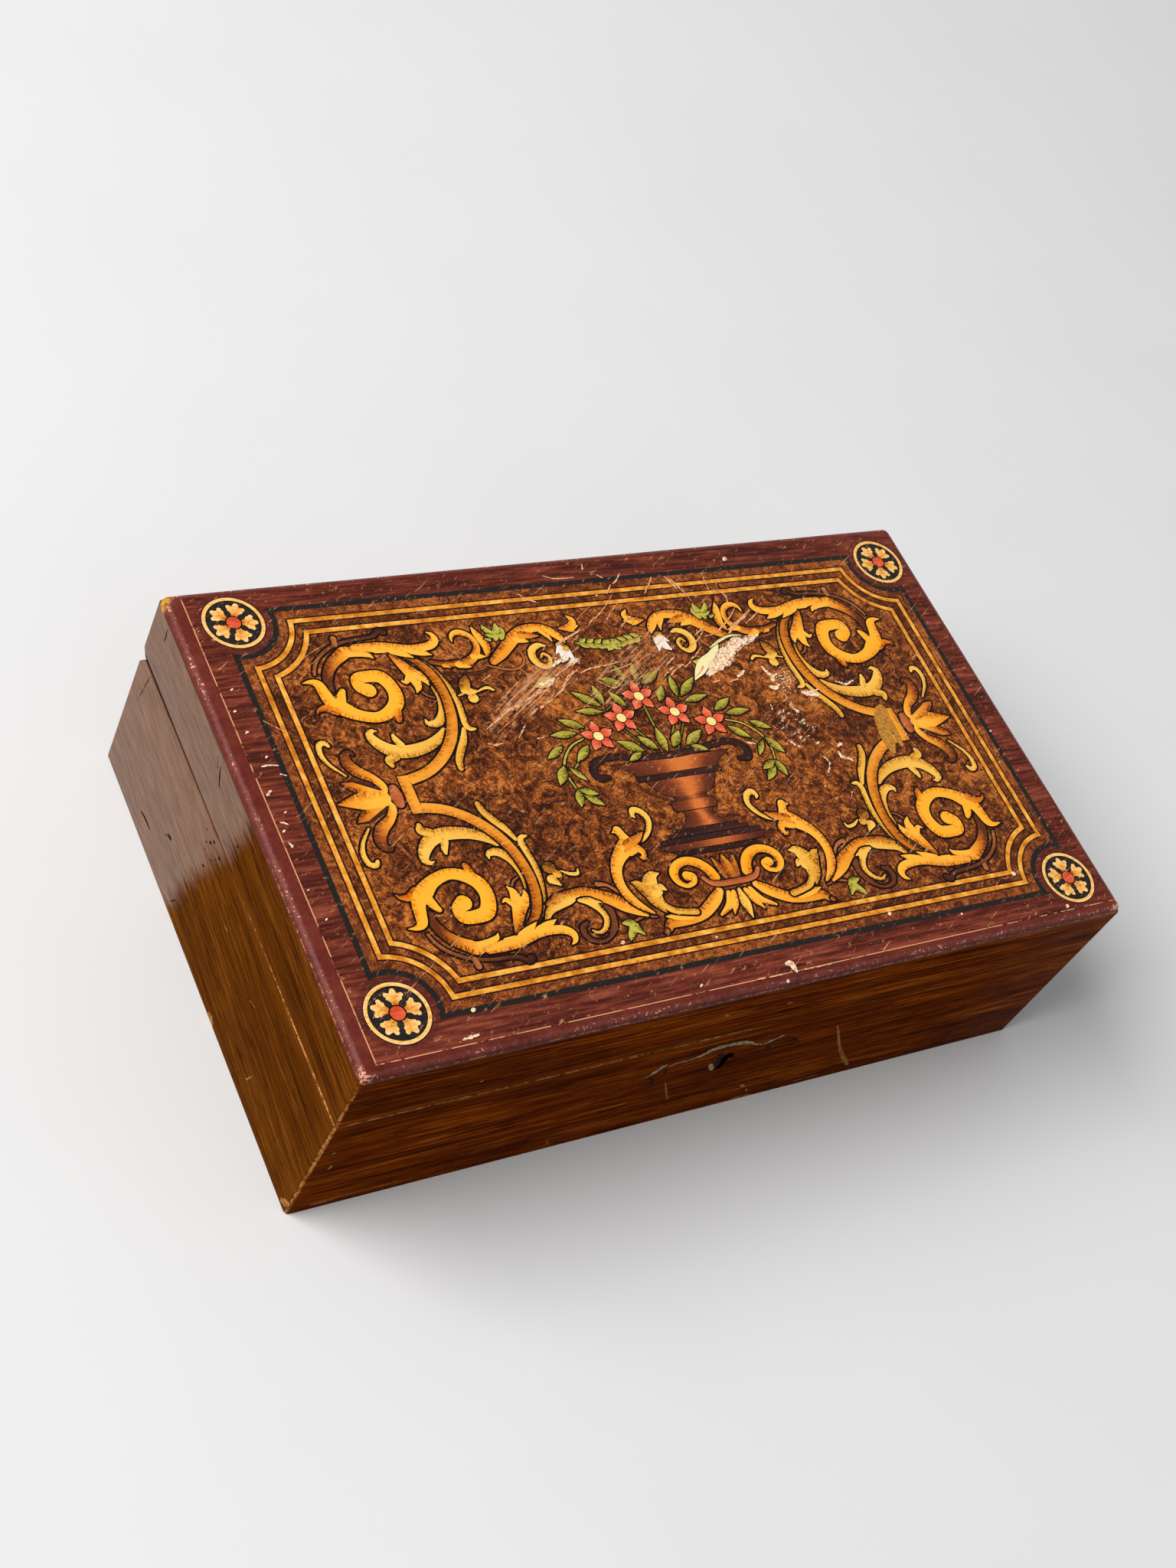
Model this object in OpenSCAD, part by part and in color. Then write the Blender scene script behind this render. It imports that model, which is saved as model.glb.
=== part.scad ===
// Stationery box: a mitred wooden base and a shallow lid sawn from one carcass, hinged along
// the back on two small brass butts and closed by a box lock behind the keyhole.
// Millimetres. The origin is the centre of the underside, +Z is up and the keyhole faces -Y.

/* [Box] */
// Overall width, left to right
box_w = 250; // [210:1:320]
// Overall depth, front to back
box_d = 150; // [120:1:220]
// Height of the base, from the table to the seam
base_h = 47.5; // [44:0.5:80]
// Height of the lid, from its rim to the printed face
lid_h = 23.2; // [16:0.2:40]
// Thickness of the eight wall boards
wall_t = 9; // [9:0.5:12]
// Radius of the four upright corners
corner_r = 1.4; // [0.6:0.1:3]

/* [Seam] */
// Gap between lid and base along the front
seam_gap = 0.3; // [0.2:0.05:0.6]
// How much the seam has opened at the back
seam_rise = 0.9; // [0.2:0.1:1.2]
// Length of each side over which the seam opens
seam_run = 62; // [20:1:90]
// Drop of the bevel on the back edge of the base
base_bevel = 3.8; // [3.6:0.1:6]
// Rise of the bevel on the back edge of the lid
lid_bevel = 2.6; // [2.4:0.1:5]

/* [Panels] */
// Thickness of the lid panel
top_t = 2.5; // [2.3:0.1:5]
// Radius of the rounded edge of the lid panel
top_edge_r = 2.2; // [1:0.1:2.3]
// Thickness of the bottom board
bottom_t = 4; // [3:0.5:6]
// Width of the rebate that holds the bottom board
rebate_w = 5; // [3:0.5:6]
// Thickness of the printed sheet on the lid
sheet_t = 0.15; // [0.1:0.05:0.4]
// Bare margin left of the printed sheet
sheet_left = 4.9; // [2.6:0.1:8]
// Bare margin in front of the printed sheet
sheet_front = 3.1; // [2.6:0.1:8]
// Bare margin right of the printed sheet and behind it
sheet_far = 2.5; // [2.4:0.1:8]
// Thickness of the lining papers
lining_t = 0.3; // [0.2:0.1:0.8]

/* [Divider] */
// Thickness of the divider
divider_t = 4; // [3:0.5:6]
// Height of the divider above the floor paper
divider_h = 30; // [20:1:34]
// Width of the well for pens
pen_well_w = 23; // [15:1:50]
// Depth of the housings that hold the divider's ends
housing = 2; // [1:0.5:3]

/* [Hinges] */
// Length of each hinge
hinge_len = 30; // [20:1:50]
// Distance from the end of the box to the middle of a hinge
hinge_from_end = 40; // [32:1:80]
// Thickness of a leaf
leaf_t = 0.9; // [0.6:0.1:0.9]
// Radius of the knuckles
knuckle_r = 1.7; // [1.5:0.1:1.9]
// Radius of the hinge pin
hinge_pin_r = 0.8; // [0.6:0.05:1]
// Distance from the back of the box to the hinge pin
hinge_inset = 3; // [2.6:0.1:3.2]

/* [Lock] */
// Width of the lock plate
lock_w = 40; // [38:1:60]
// Height of the lock plate
lock_h = 27; // [26:0.5:34]
// Thickness of the lock plate and of the link plate
plate_t = 1; // [0.8:0.1:1.2]
// Width of the lock case
case_w = 30; // [30:1:33]
// Depth of the lock case
case_t = 4.6; // [4.5:0.1:5]
// Wall of the lock case
case_wall = 0.7; // [0.5:0.1:0.8]
// Distance from the seam down to the round of the keyhole
key_drop = 15.2; // [15:0.1:17]
// Radius of the round of the keyhole
key_r = 2.3; // [1.8:0.1:2.6]
// Length of the keyhole's slot, from the centre of its round
key_slot = 7; // [5:0.5:8]
// Travel of the bolt
bolt_travel = 4; // [3:0.5:4.5]

/* [Fasteners] */
// Radius of a hinge or lock screw's head
screw_head_r = 1.5; // [1.2:0.1:1.6]
// Radius of a hinge or lock screw's shank
screw_r = 0.7; // [0.5:0.1:0.9]
// Length of a hinge or lock screw
screw_len = 5.5; // [4:0.5:6]
// Length of the pins that hold the bottom board
nail_len = 14; // [8:1:16]
// Radius of those pins
nail_r = 0.6; // [0.4:0.1:0.8]

/* [Hidden] */
$fn = 48;

sink = 0.5;            // how far a cutter runs past the face that it starts from
fit = 0.05;            // clearance round fixed pins and screws
slide = 0.2;           // clearance beside what slides or swings
box_h = base_h + seam_gap + lid_h;
half_w = box_w / 2;
half_d = box_d / 2;
in_x = half_w - wall_t;
in_y = half_d - wall_t;
lid_z = base_h + seam_gap;             // underside of the lid's rim
back_z = base_h - seam_rise;           // top edge of the base's back board
panel_top = box_h - sheet_t;
rim_top = panel_top - top_t;           // top of the lid's rim boards
floor_z = bottom_t + lining_t;

walnut = [0.30, 0.14, 0.05];
bare_wood = [0.66, 0.48, 0.29];
maroon = [0.33, 0.09, 0.07];
print_brown = [0.42, 0.19, 0.08];
buff_paper = [0.78, 0.70, 0.54];
brass = [0.72, 0.55, 0.25];
iron = [0.40, 0.38, 0.36];

// Shapes that repeat

// Plan of the box: a rectangle with four rounded corners
module plan(w, d, r) {
    square([w - 2 * r, d], center = true);
    square([w, d - 2 * r], center = true);
    for (sx = [-1, 1], sy = [-1, 1])
        translate([sx * (w / 2 - r), sy * (d / 2 - r)]) circle(r);
}

// One long wall board along the front, mitred at both ends
module long_board(z0, z1) {
    translate([0, 0, z0]) linear_extrude(z1 - z0) intersection() {
        plan(box_w, box_d, corner_r);
        polygon([[-half_w, -half_d], [half_w, -half_d], [in_x, -in_y], [-in_x, -in_y]]);
    }
}

// One short wall board along the left side, mitred at both ends
module short_board(z0, z1) {
    translate([0, 0, z0]) linear_extrude(z1 - z0) intersection() {
        plan(box_w, box_d, corner_r);
        polygon([[-half_w, -half_d], [-half_w, half_d], [-in_x, in_y], [-in_x, -in_y]]);
    }
}

// A solid that runs the whole width of the box, from an outline in Y and Z
module across(outline) {
    rotate([90, 0, 90]) translate([0, 0, -half_w - sink])
        linear_extrude(box_w + 2 * sink) polygon(outline);
}

// What the seam takes off the base: its bevelled back edge, and the sides where it has opened
module base_seam_cut() {
    over = lid_z + sink;
    across([
        [half_d - seam_run, base_h], [half_d - wall_t, back_z], [hinge_y, back_z],
        [half_d, back_z - base_bevel], [half_d + sink, back_z - base_bevel],
        [half_d + sink, over], [half_d - seam_run, over]]);
}

// What the bevel takes off the back edge of the lid
module lid_seam_cut() {
    across([
        [hinge_y, lid_z], [half_d, lid_z + lid_bevel], [half_d + sink, lid_z + lid_bevel],
        [half_d + sink, lid_z - sink], [hinge_y, lid_z - sink]]);
}

// The space under the walls that the bottom board fills
module bottom_rebate() {
    translate([0, 0, (bottom_t - sink) / 2])
        cube([bottom_w, bottom_d, bottom_t + sink], center = true);
}

// A countersunk screw along -Z, its head at the origin. grow widens it for its hole
module screw(length, grow = 0) {
    head_t = screw_head_r - screw_r;
    translate([0, 0, -head_t])
        cylinder(h = head_t, r1 = screw_r + grow, r2 = screw_head_r + grow);
    translate([0, 0, -length - grow]) cylinder(h = length + grow, r = screw_r + grow);
    if (grow > 0) cylinder(h = sink, r = screw_head_r + grow);
}

module slotted_screw(length) {
    slot = screw_head_r / 5;
    difference() {
        screw(length);
        cube([2 * screw_head_r + sink, slot, slot], center = true);
    }
}

// Bottom board, its pins, the floor paper and the divider

bottom_w = box_w - 2 * (wall_t - rebate_w);
bottom_d = box_d - 2 * (wall_t - rebate_w);
nail_in = wall_t - rebate_w / 2;       // from the outside of the box to a pin
nail_x = half_w - 18;                  // the outer pins of the long sides
nail_y = half_d - 35;                  // the pins of the short sides
nail_head_r = 1.8 * nail_r;
nail_head_t = 0.5;

module at_nails() {
    for (x = [-nail_x, -nail_x / 3, nail_x / 3, nail_x], sy = [-1, 1])
        translate([x, sy * (half_d - nail_in), 0]) children();
    for (sx = [-1, 1], sy = [-1, 1])
        translate([sx * (half_w - nail_in), sy * nail_y, 0]) children();
}

module nail(grow = 0) {
    cylinder(h = nail_len + grow, r = nail_r + grow);
    translate([0, 0, grow > 0 ? -sink : 0])
        cylinder(h = nail_head_t + (grow > 0 ? sink + grow : 0), r = nail_head_r + grow);
}

module bottom_board() {
    color(bare_wood) difference() {
        translate([0, 0, bottom_t / 2]) cube([bottom_w, bottom_d, bottom_t], center = true);
        at_nails() nail(fit);
    }
}

module bottom_pins() {
    color(iron) at_nails() nail();
}

module floor_paper() {
    color(buff_paper) translate([0, 0, bottom_t + lining_t / 2])
        cube([2 * in_x, 2 * in_y, lining_t], center = true);
}

divider_x = in_x - pen_well_w - divider_t / 2;
divider_round = divider_t / 2;         // its top edge is a half round

module divider_outline(grow = 0) {
    rise = divider_h - divider_round;
    translate([-divider_t / 2 - grow, 0]) square([divider_t + 2 * grow, rise]);
    translate([0, rise]) circle(divider_round + grow);
}

module divider() {
    color(bare_wood) translate([divider_x, in_y + housing - fit, floor_z]) rotate([90, 0, 0])
        linear_extrude(2 * (in_y + housing - fit)) divider_outline();
}

// The housings in the front and back boards, a little longer than the divider
module divider_housing() {
    translate([divider_x, in_y + housing, floor_z]) rotate([90, 0, 0])
        linear_extrude(2 * (in_y + housing)) {
            divider_outline(fit);
            translate([-divider_t / 2 - fit, -lining_t]) square([divider_t + 2 * fit, lining_t]);
        }
}

// Hinges

hinge_x = half_w - hinge_from_end;
hinge_y = half_d - hinge_inset;
hinge_z = (back_z + lid_z) / 2;
leaf_gap = 0.2;                        // between the two leaves when the lid is shut
leaf_back = in_y + 0.3;                // inner edge of the leaves
knuckles = 3;
knuckle_len = hinge_len / knuckles;
knuckle_gap = 0.15;                    // between neighbouring knuckles
hinge_screw_y = (leaf_back + hinge_y - knuckle_r) / 2;
hinge_screw_x = hinge_len / 2 - 5;

// A bar along X about the hinge pin
module about_pin(x0, x1, r) {
    translate([x0, hinge_y, hinge_z]) rotate([0, 90, 0]) cylinder(h = x1 - x0, r = r);
}

// A leaf centred at x = 0. side is -1 for the base's leaf and 1 for the lid's
module leaf(side) {
    z_near = hinge_z + side * leaf_gap / 2;
    z_far = z_near + side * leaf_t;
    z_low = min(z_near, z_far);
    own = side < 0 ? [0, 2] : [1];     // the knuckles that belong to this leaf
    other = side < 0 ? [1] : [0, 2];
    difference() {
        union() {
            translate([-hinge_len / 2, leaf_back, z_low])
                cube([hinge_len, hinge_y - leaf_back, leaf_t]);
            for (k = own) about_pin(knuckle_at(k) + knuckle_gap / 2,
                                    knuckle_at(k + 1) - knuckle_gap / 2, knuckle_r);
        }
        for (k = other) about_pin(knuckle_at(k) - knuckle_gap / 2,
                                  knuckle_at(k + 1) + knuckle_gap / 2, knuckle_r + slide);
        about_pin(-hinge_len, hinge_len, hinge_pin_r + fit);
        at_hinge_screws(side) screw(screw_len, fit);
    }
}

function knuckle_at(k) = -hinge_len / 2 + k * knuckle_len;

// Screws stand on the faces of the leaves that meet when the lid is shut
module at_hinge_screws(side) {
    for (sx = [-1, 1])
        translate([sx * hinge_screw_x, hinge_screw_y, hinge_z + side * leaf_gap / 2])
            rotate([side < 0 ? 0 : 180, 0, 0]) children();
}

module at_hinges() {
    for (sx = [-1, 1]) translate([sx * hinge_x, 0, 0]) children();
}

// The wood that makes way for a leaf, its screws and the knuckles
module hinge_recess(side) {
    z_near = hinge_z + side * leaf_gap / 2;
    z_far = z_near + side * leaf_t;
    long = hinge_len + 2 * fit;
    translate([-long / 2, leaf_back - fit, min(z_near, z_far)])
        cube([long, hinge_y - leaf_back + fit, leaf_t]);
    about_pin(-long / 2, long / 2, knuckle_r + slide);
    at_hinge_screws(side) screw(screw_len, fit);
}

module hinge_pin() {
    about_pin(-hinge_len / 2, hinge_len / 2, hinge_pin_r);
}

module hinge_left_base_leaf() { color(brass) translate([-hinge_x, 0, 0]) leaf(-1); }
module hinge_left_lid_leaf() { color(brass) translate([-hinge_x, 0, 0]) leaf(1); }
module hinge_left_pin() { color(iron) translate([-hinge_x, 0, 0]) hinge_pin(); }
module hinge_right_base_leaf() { color(brass) translate([hinge_x, 0, 0]) leaf(-1); }
module hinge_right_lid_leaf() { color(brass) translate([hinge_x, 0, 0]) leaf(1); }
module hinge_right_pin() { color(iron) translate([hinge_x, 0, 0]) hinge_pin(); }
module hinge_base_screws() { color(brass) at_hinges() at_hinge_screws(-1) slotted_screw(screw_len); }
module hinge_lid_screws() { color(brass) at_hinges() at_hinge_screws(1) slotted_screw(screw_len); }

// Lock, let into the back of the front board

plate_y = -in_y - plate_t;             // outer face of the lock plate
case_y = plate_y - case_t;             // outer face of the lock case
case_h = lock_h - plate_t - 2.5;
key_z = base_h - key_drop;
drill_pin_r = 0.9;
guide_t = 1;                           // the two ribs that the bolt slides on
staple_t = 1.4;
staple_x = case_w / 5;                 // middle of each staple
staple_w = 3;
staple_drop = 6.5;                     // from the lid's rim to the foot of a staple
staple_y = plate_y - (case_t - case_wall) / 2;     // middle of the staples and of the bolt
foot_t = 1.2;                          // metal below a staple's eye
bolt_t = 1.4;
finger_h = 2;
finger_z = lid_z - staple_drop + foot_t + slide;   // underside of the fingers
finger_top = finger_z + finger_h;
tip_gap = 0.5;                         // from a finger's tip to its staple, bolt drawn back
right_tip = staple_x - staple_t / 2 - tip_gap;
left_tip = -staple_x - staple_t / 2 - tip_gap;
post_w = 2;                            // each finger stands on a post behind its free length
bar_top = lid_z - staple_drop - slide;
bar_h = 4.7;
bar_z = bar_top - bar_h;
talon_w = 4;                           // the notch in which the key pushes the bolt
talon_h = 2.4;
lock_screw_x = (lock_w + case_w) / 4;
lock_screw_drop = [4.5, lock_h - 4];
rib_x = case_w / 4 + 2;
rib_w = 8;
strip_t = 0.35;                        // the spring's strip

// Plan of the keyhole in X and Z, centred on its round
module keyhole(depth, grow = 0) {
    rotate([90, 0, 0]) linear_extrude(depth, center = true) {
        circle(key_r + grow);
        translate([-key_r / 2 - grow, -key_slot - grow]) square([key_r + 2 * grow, key_slot]);
    }
}

// A box from its lowest corner to its highest one
module block(lo, hi) { translate(lo) cube(hi - lo); }

module at_lock_screws() {
    for (sx = [-1, 1], drop = lock_screw_drop)
        translate([sx * lock_screw_x, -in_y, base_h - drop]) rotate([-90, 0, 0]) children();
}

module at_link_screws() {
    for (sx = [-1, 1]) translate([sx * (lock_w / 2 - 4.5), staple_y, lid_z])
        rotate([180, 0, 0]) children();
}

// The slots in the lock's top flange that let the staples in
module staple_slots() {
    for (sx = [-1, 1])
        translate([sx * staple_x, staple_y, base_h])
            cube([staple_t + 4 * slide, staple_w + 4 * slide, 2 * plate_t + sink], center = true);
}

module lock_plate() {
    color(brass) difference() {
        union() {
            block([-lock_w / 2, plate_y, base_h - lock_h], [lock_w / 2, -in_y, base_h]);
            block([-lock_w / 2, case_y - plate_t / 2, base_h - plate_t],
                  [lock_w / 2, -in_y, base_h]);
            for (sx = [-1, 1]) translate([sx * rib_x - rib_w / 2, 0, 0])
                block([0, case_y + case_wall + slide, bar_z - slide - guide_t],
                      [rib_w, plate_y, bar_z - slide]);
        }
        staple_slots();
        at_lock_screws() screw(screw_len, fit);
    }
}

module lock_case() {
    top = base_h - plate_t;
    color(iron) difference() {
        block([-case_w / 2, case_y, top - case_h], [case_w / 2, plate_y, top]);
        block([case_wall - case_w / 2, case_y + case_wall, top - case_h + case_wall],
              [case_w / 2 - case_wall, plate_y + sink, top + sink]);
        translate([0, case_y, key_z]) keyhole(4 * case_wall);
    }
}

module lock_bolt() {
    y0 = staple_y - bolt_t / 2;
    y1 = staple_y + bolt_t / 2;
    left_end = left_tip - bolt_travel - post_w;
    right_end = right_tip - bolt_travel;
    color(brass) difference() {
        union() {
            block([left_end, y0, bar_z], [right_end + post_w, y1, bar_top]);
            for (tip = [left_tip, right_tip]) {
                block([tip - bolt_travel - post_w, y0, finger_z], [tip, y1, finger_top]);
                block([tip - bolt_travel - post_w, y0, bar_z],
                      [tip - bolt_travel, y1, finger_top]);
            }
        }
        block([-(bolt_travel + talon_w) / 2, y0 - sink, bar_z - sink],
              [-(bolt_travel - talon_w) / 2, y1 + sink, bar_z + talon_h]);
    }
}

// A bowed strip under the top flange that bears on the bolt's left post
module lock_spring() {
    top = base_h - plate_t;
    low = finger_top + slide;
    x0 = case_wall - case_w / 2;
    x1 = -staple_x - staple_t / 2 - 3 * slide;
    mid = (x0 + x1) / 2;
    color(iron) translate([0, staple_y + bolt_t / 2, 0]) rotate([90, 0, 0])
        linear_extrude(bolt_t) polygon([
            [x0, top], [x0, top - strip_t], [mid - 1, low], [mid + 1, low],
            [x1, top - strip_t], [x1, top], [mid + 1, low + strip_t], [mid - 1, low + strip_t]]);
}

module lock_drill_pin() {
    color(iron) translate([0, plate_y, key_z]) rotate([90, 0, 0])
        cylinder(h = case_t + 0.8, r = drill_pin_r);
}

module lock_screws() {
    color(iron) at_lock_screws() slotted_screw(screw_len);
}

// The bars from which the staples are cut. Their upper ends stand in slots in the link plate
module staple_bars() {
    for (sx = [-1, 1]) translate([sx * staple_x - staple_t / 2, staple_y, 0])
        block([0, -staple_w / 2, lid_z - staple_drop], [staple_t, staple_w / 2, lid_z + plate_t]);
}

module link_plate() {
    color(brass) difference() {
        block([-lock_w / 2, case_y - plate_t / 2, lid_z], [lock_w / 2, -in_y, lid_z + plate_t]);
        staple_bars();
        at_link_screws() screw(screw_len, fit);
    }
}

module link_staples() {
    color(brass) difference() {
        staple_bars();
        for (sx = [-1, 1]) translate([sx * staple_x, staple_y, 0])
            block([-staple_t, -bolt_t / 2 - slide, finger_z - slide],
                  [staple_t, bolt_t / 2 + slide, finger_top + slide]);
    }
}

module link_screws() {
    color(iron) at_link_screws() slotted_screw(screw_len);
}

// Everything that the lock takes out of the front board
module lock_mortise() {
    block([-lock_w / 2 - fit, plate_y, base_h - lock_h - fit],
          [lock_w / 2 + fit, -in_y + sink, base_h + sink]);
    block([-lock_w / 2 - fit, case_y - plate_t / 2 - fit, base_h - plate_t],
          [lock_w / 2 + fit, -in_y + sink, base_h + sink]);
    block([-case_w / 2 - fit, case_y - fit, base_h - plate_t - case_h - fit],
          [case_w / 2 + fit, -in_y + sink, base_h]);
    at_lock_screws() screw(screw_len, fit);
    translate([0, -half_d, key_z]) keyhole(2 * wall_t);
}

// Boards of the base

pin_hole_x = 21;                       // the two pin holes left by the lost escutcheon
pin_hole_r = 0.5;

module base_front() {
    color(walnut) difference() {
        long_board(0, base_h);
        bottom_rebate();
        at_nails() nail(fit);
        divider_housing();
        lock_mortise();
        for (sx = [-1, 1]) translate([sx * pin_hole_x, -half_d, key_z + 1])
            rotate([-90, 0, 0]) cylinder(h = 6, r = pin_hole_r, center = true);
    }
}

module base_back() {
    color(walnut) difference() {
        mirror([0, 1, 0]) long_board(0, base_h);
        bottom_rebate();
        at_nails() nail(fit);
        divider_housing();
        base_seam_cut();
        at_hinges() hinge_recess(-1);
    }
}

module base_left() {
    color(walnut) difference() {
        short_board(0, base_h);
        bottom_rebate();
        at_nails() nail(fit);
        base_seam_cut();
    }
}

module base_right() {
    color(walnut) difference() {
        mirror([1, 0, 0]) short_board(0, base_h);
        bottom_rebate();
        at_nails() nail(fit);
        base_seam_cut();
    }
}

// Boards, panel and papers of the lid

module lid_front() {
    color(walnut) difference() {
        long_board(lid_z, rim_top);
        block([-lock_w / 2 - fit, case_y - plate_t / 2 - fit, lid_z - sink],
              [lock_w / 2 + fit, -in_y + sink, lid_z + plate_t]);
        at_link_screws() screw(screw_len, fit);
    }
}

module lid_back() {
    color(walnut) difference() {
        mirror([0, 1, 0]) long_board(lid_z, rim_top);
        lid_seam_cut();
        at_hinges() hinge_recess(1);
    }
}

module lid_left() {
    color(walnut) difference() {
        short_board(lid_z, rim_top);
        lid_seam_cut();
    }
}

module lid_right() {
    color(walnut) difference() {
        mirror([1, 0, 0]) short_board(lid_z, rim_top);
        lid_seam_cut();
    }
}

// Section of the lid panel: flat below, its two upper edges a quarter round
module panel_section(w) {
    translate([-w / 2, 0]) square([w, top_t - top_edge_r]);
    translate([-w / 2 + top_edge_r, 0]) square([w - 2 * top_edge_r, top_t]);
    for (sx = [-1, 1]) intersection() {
        translate([sx * (w / 2 - top_edge_r), top_t - top_edge_r]) circle(top_edge_r);
        translate([-w / 2, 0]) square([w, top_t]);
    }
}

module lid_panel() {
    color(maroon) translate([0, 0, rim_top]) intersection() {
        linear_extrude(top_t) plan(box_w, box_d, corner_r + 1);
        rotate([90, 0, 0]) linear_extrude(box_d + 1, center = true) panel_section(box_w);
        rotate([90, 0, 90]) linear_extrude(box_w + 1, center = true) panel_section(box_d);
    }
}

module printed_sheet() {
    color(print_brown) block([-half_w + sheet_left, -half_d + sheet_front, panel_top],
                             [half_w - sheet_far, half_d - sheet_far, box_h]);
}

module lid_paper() {
    color(buff_paper) block([-in_x, -in_y, rim_top - lining_t], [in_x, in_y, rim_top]);
}

base_front();
base_back();
base_left();
base_right();
bottom_board();
bottom_pins();
floor_paper();
divider();
lid_panel();
lid_front();
lid_back();
lid_left();
lid_right();
printed_sheet();
lid_paper();
hinge_left_base_leaf();
hinge_left_lid_leaf();
hinge_left_pin();
hinge_right_base_leaf();
hinge_right_lid_leaf();
hinge_right_pin();
hinge_base_screws();
hinge_lid_screws();
lock_plate();
lock_case();
lock_bolt();
lock_spring();
lock_drill_pin();
lock_screws();
link_plate();
link_staples();
link_screws();
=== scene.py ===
import math

import bmesh
import bpy
from mathutils import Matrix, Vector


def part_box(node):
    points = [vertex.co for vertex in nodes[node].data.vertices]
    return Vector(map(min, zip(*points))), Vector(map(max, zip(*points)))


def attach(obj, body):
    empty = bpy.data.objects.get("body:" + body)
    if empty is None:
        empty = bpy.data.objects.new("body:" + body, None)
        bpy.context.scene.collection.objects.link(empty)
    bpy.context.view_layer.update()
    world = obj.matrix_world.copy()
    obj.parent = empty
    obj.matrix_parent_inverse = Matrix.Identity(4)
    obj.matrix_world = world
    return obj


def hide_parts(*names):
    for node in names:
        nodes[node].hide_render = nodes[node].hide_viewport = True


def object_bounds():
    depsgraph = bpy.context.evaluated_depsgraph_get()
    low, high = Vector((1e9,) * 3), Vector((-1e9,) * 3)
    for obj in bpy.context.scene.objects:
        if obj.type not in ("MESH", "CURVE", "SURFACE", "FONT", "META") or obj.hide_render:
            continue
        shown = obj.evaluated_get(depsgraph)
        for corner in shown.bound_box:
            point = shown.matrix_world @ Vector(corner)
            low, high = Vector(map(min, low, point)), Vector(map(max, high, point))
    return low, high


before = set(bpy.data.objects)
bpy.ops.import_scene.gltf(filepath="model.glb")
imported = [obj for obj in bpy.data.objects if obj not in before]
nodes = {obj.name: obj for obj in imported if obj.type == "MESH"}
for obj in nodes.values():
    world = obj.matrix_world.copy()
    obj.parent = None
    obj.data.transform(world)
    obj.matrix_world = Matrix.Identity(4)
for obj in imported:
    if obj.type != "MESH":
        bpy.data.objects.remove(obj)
cad_low, cad_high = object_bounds()

# The table and the light.
# The box stands on a plain pale table under one large soft window lamp at its left, and the
# camera looks down on it over the front left corner, a little rolled.


class Wire:
    """An output of a material's node, which adds and multiplies like a number."""

    def __init__(self, tree, socket=None):
        self.tree = tree
        self.socket = socket

    def make(self, kind, inputs, out=0, stops=None, **settings):
        node = self.tree.nodes.new(kind)
        for setting, value in settings.items():
            setattr(node, setting, value)
        if stops:
            marks = node.color_ramp.elements
            while len(marks) < len(stops):
                marks.new(1.0)
            for mark, (place, colour) in zip(marks, stops):
                mark.position = place
                mark.color = colour
        for name, value in inputs.items():
            if isinstance(value, Wire):
                self.tree.links.new(value.socket, node.inputs[name])
            else:
                node.inputs[name].default_value = value
        return Wire(self.tree, node.outputs[out])

    def sum(self, operation, *values):
        return self.make("ShaderNodeMath", dict(enumerate(values)), operation=operation)

    def __add__(self, other):
        return self.sum("ADD", self, other)

    def __radd__(self, other):
        return self.sum("ADD", other, self)

    def __sub__(self, other):
        return self.sum("SUBTRACT", self, other)

    def __rsub__(self, other):
        return self.sum("SUBTRACT", other, self)

    def __mul__(self, other):
        return self.sum("MULTIPLY", self, other)

    def __rmul__(self, other):
        return self.sum("MULTIPLY", other, self)

    def __truediv__(self, other):
        return self.sum("DIVIDE", self, other)

    def __abs__(self):
        return self.sum("ABSOLUTE", self)

    def root(self):
        return self.sum("SQRT", self)

    def sine(self):
        return self.sum("SINE", self)

    def most(self, other):
        return self.sum("MAXIMUM", self, other)

    def fade(self, low, high):
        """0 at low, 1 at high, smooth between."""
        return self.make(
            "ShaderNodeMapRange",
            {"Value": self, "From Min": low, "From Max": high},
            interpolation_type="SMOOTHSTEP",
        )

    def ramp(self, *stops):
        """The colour at this value, between stops of (value, red, green, blue)."""
        colours = [(value, rgb(*colour)) for value, *colour in stops]
        return self.make("ShaderNodeValToRGB", {"Fac": self}, stops=colours)


def rgb(red, green, blue):
    """A colour as it looks on a screen, 0 to 255, as light."""
    light = []
    for part in (red, green, blue):
        share = part / 255
        light.append(share / 12.92 if share <= 0.04045 else ((share + 0.055) / 1.055) ** 2.4)
    return (*light, 1.0)


def blend(share, first, second, how="MIX"):
    """first where share is 0, second where it is 1."""
    tools = share if isinstance(share, Wire) else first if isinstance(first, Wire) else second
    return tools.make(
        "ShaderNodeMix",
        {0: share, 6: first, 7: second},
        out=2,
        data_type="RGBA",
        blend_type=how,
    )


def new_finish(name, **constants):
    """A material with one Principled shader, and its surface's place in millimetres."""
    finish = bpy.data.materials.new(name)
    finish.use_nodes = True
    shader = finish.node_tree.nodes["Principled BSDF"]
    for socket, value in constants.items():
        shader.inputs[socket.replace("_", " ")].default_value = value
    wire = Wire(finish.node_tree)
    spot = wire.make("ShaderNodeTexCoord", {}, out="Object")
    place = wire.make(
        "ShaderNodeVectorMath", {0: spot, "Scale": 1000.0}, operation="SCALE"
    )
    return finish, shader, place


def plug(shader, **wires):
    """Joins wires to the shader's sockets."""
    for socket, wire in wires.items():
        wire.tree.links.new(wire.socket, shader.inputs[socket.replace("_", " ")])


def sides(place):
    """The x, y and z of a place."""
    split = place.make("ShaderNodeSeparateXYZ", {0: place})
    return [Wire(place.tree, output) for output in split.socket.node.outputs]


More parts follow.
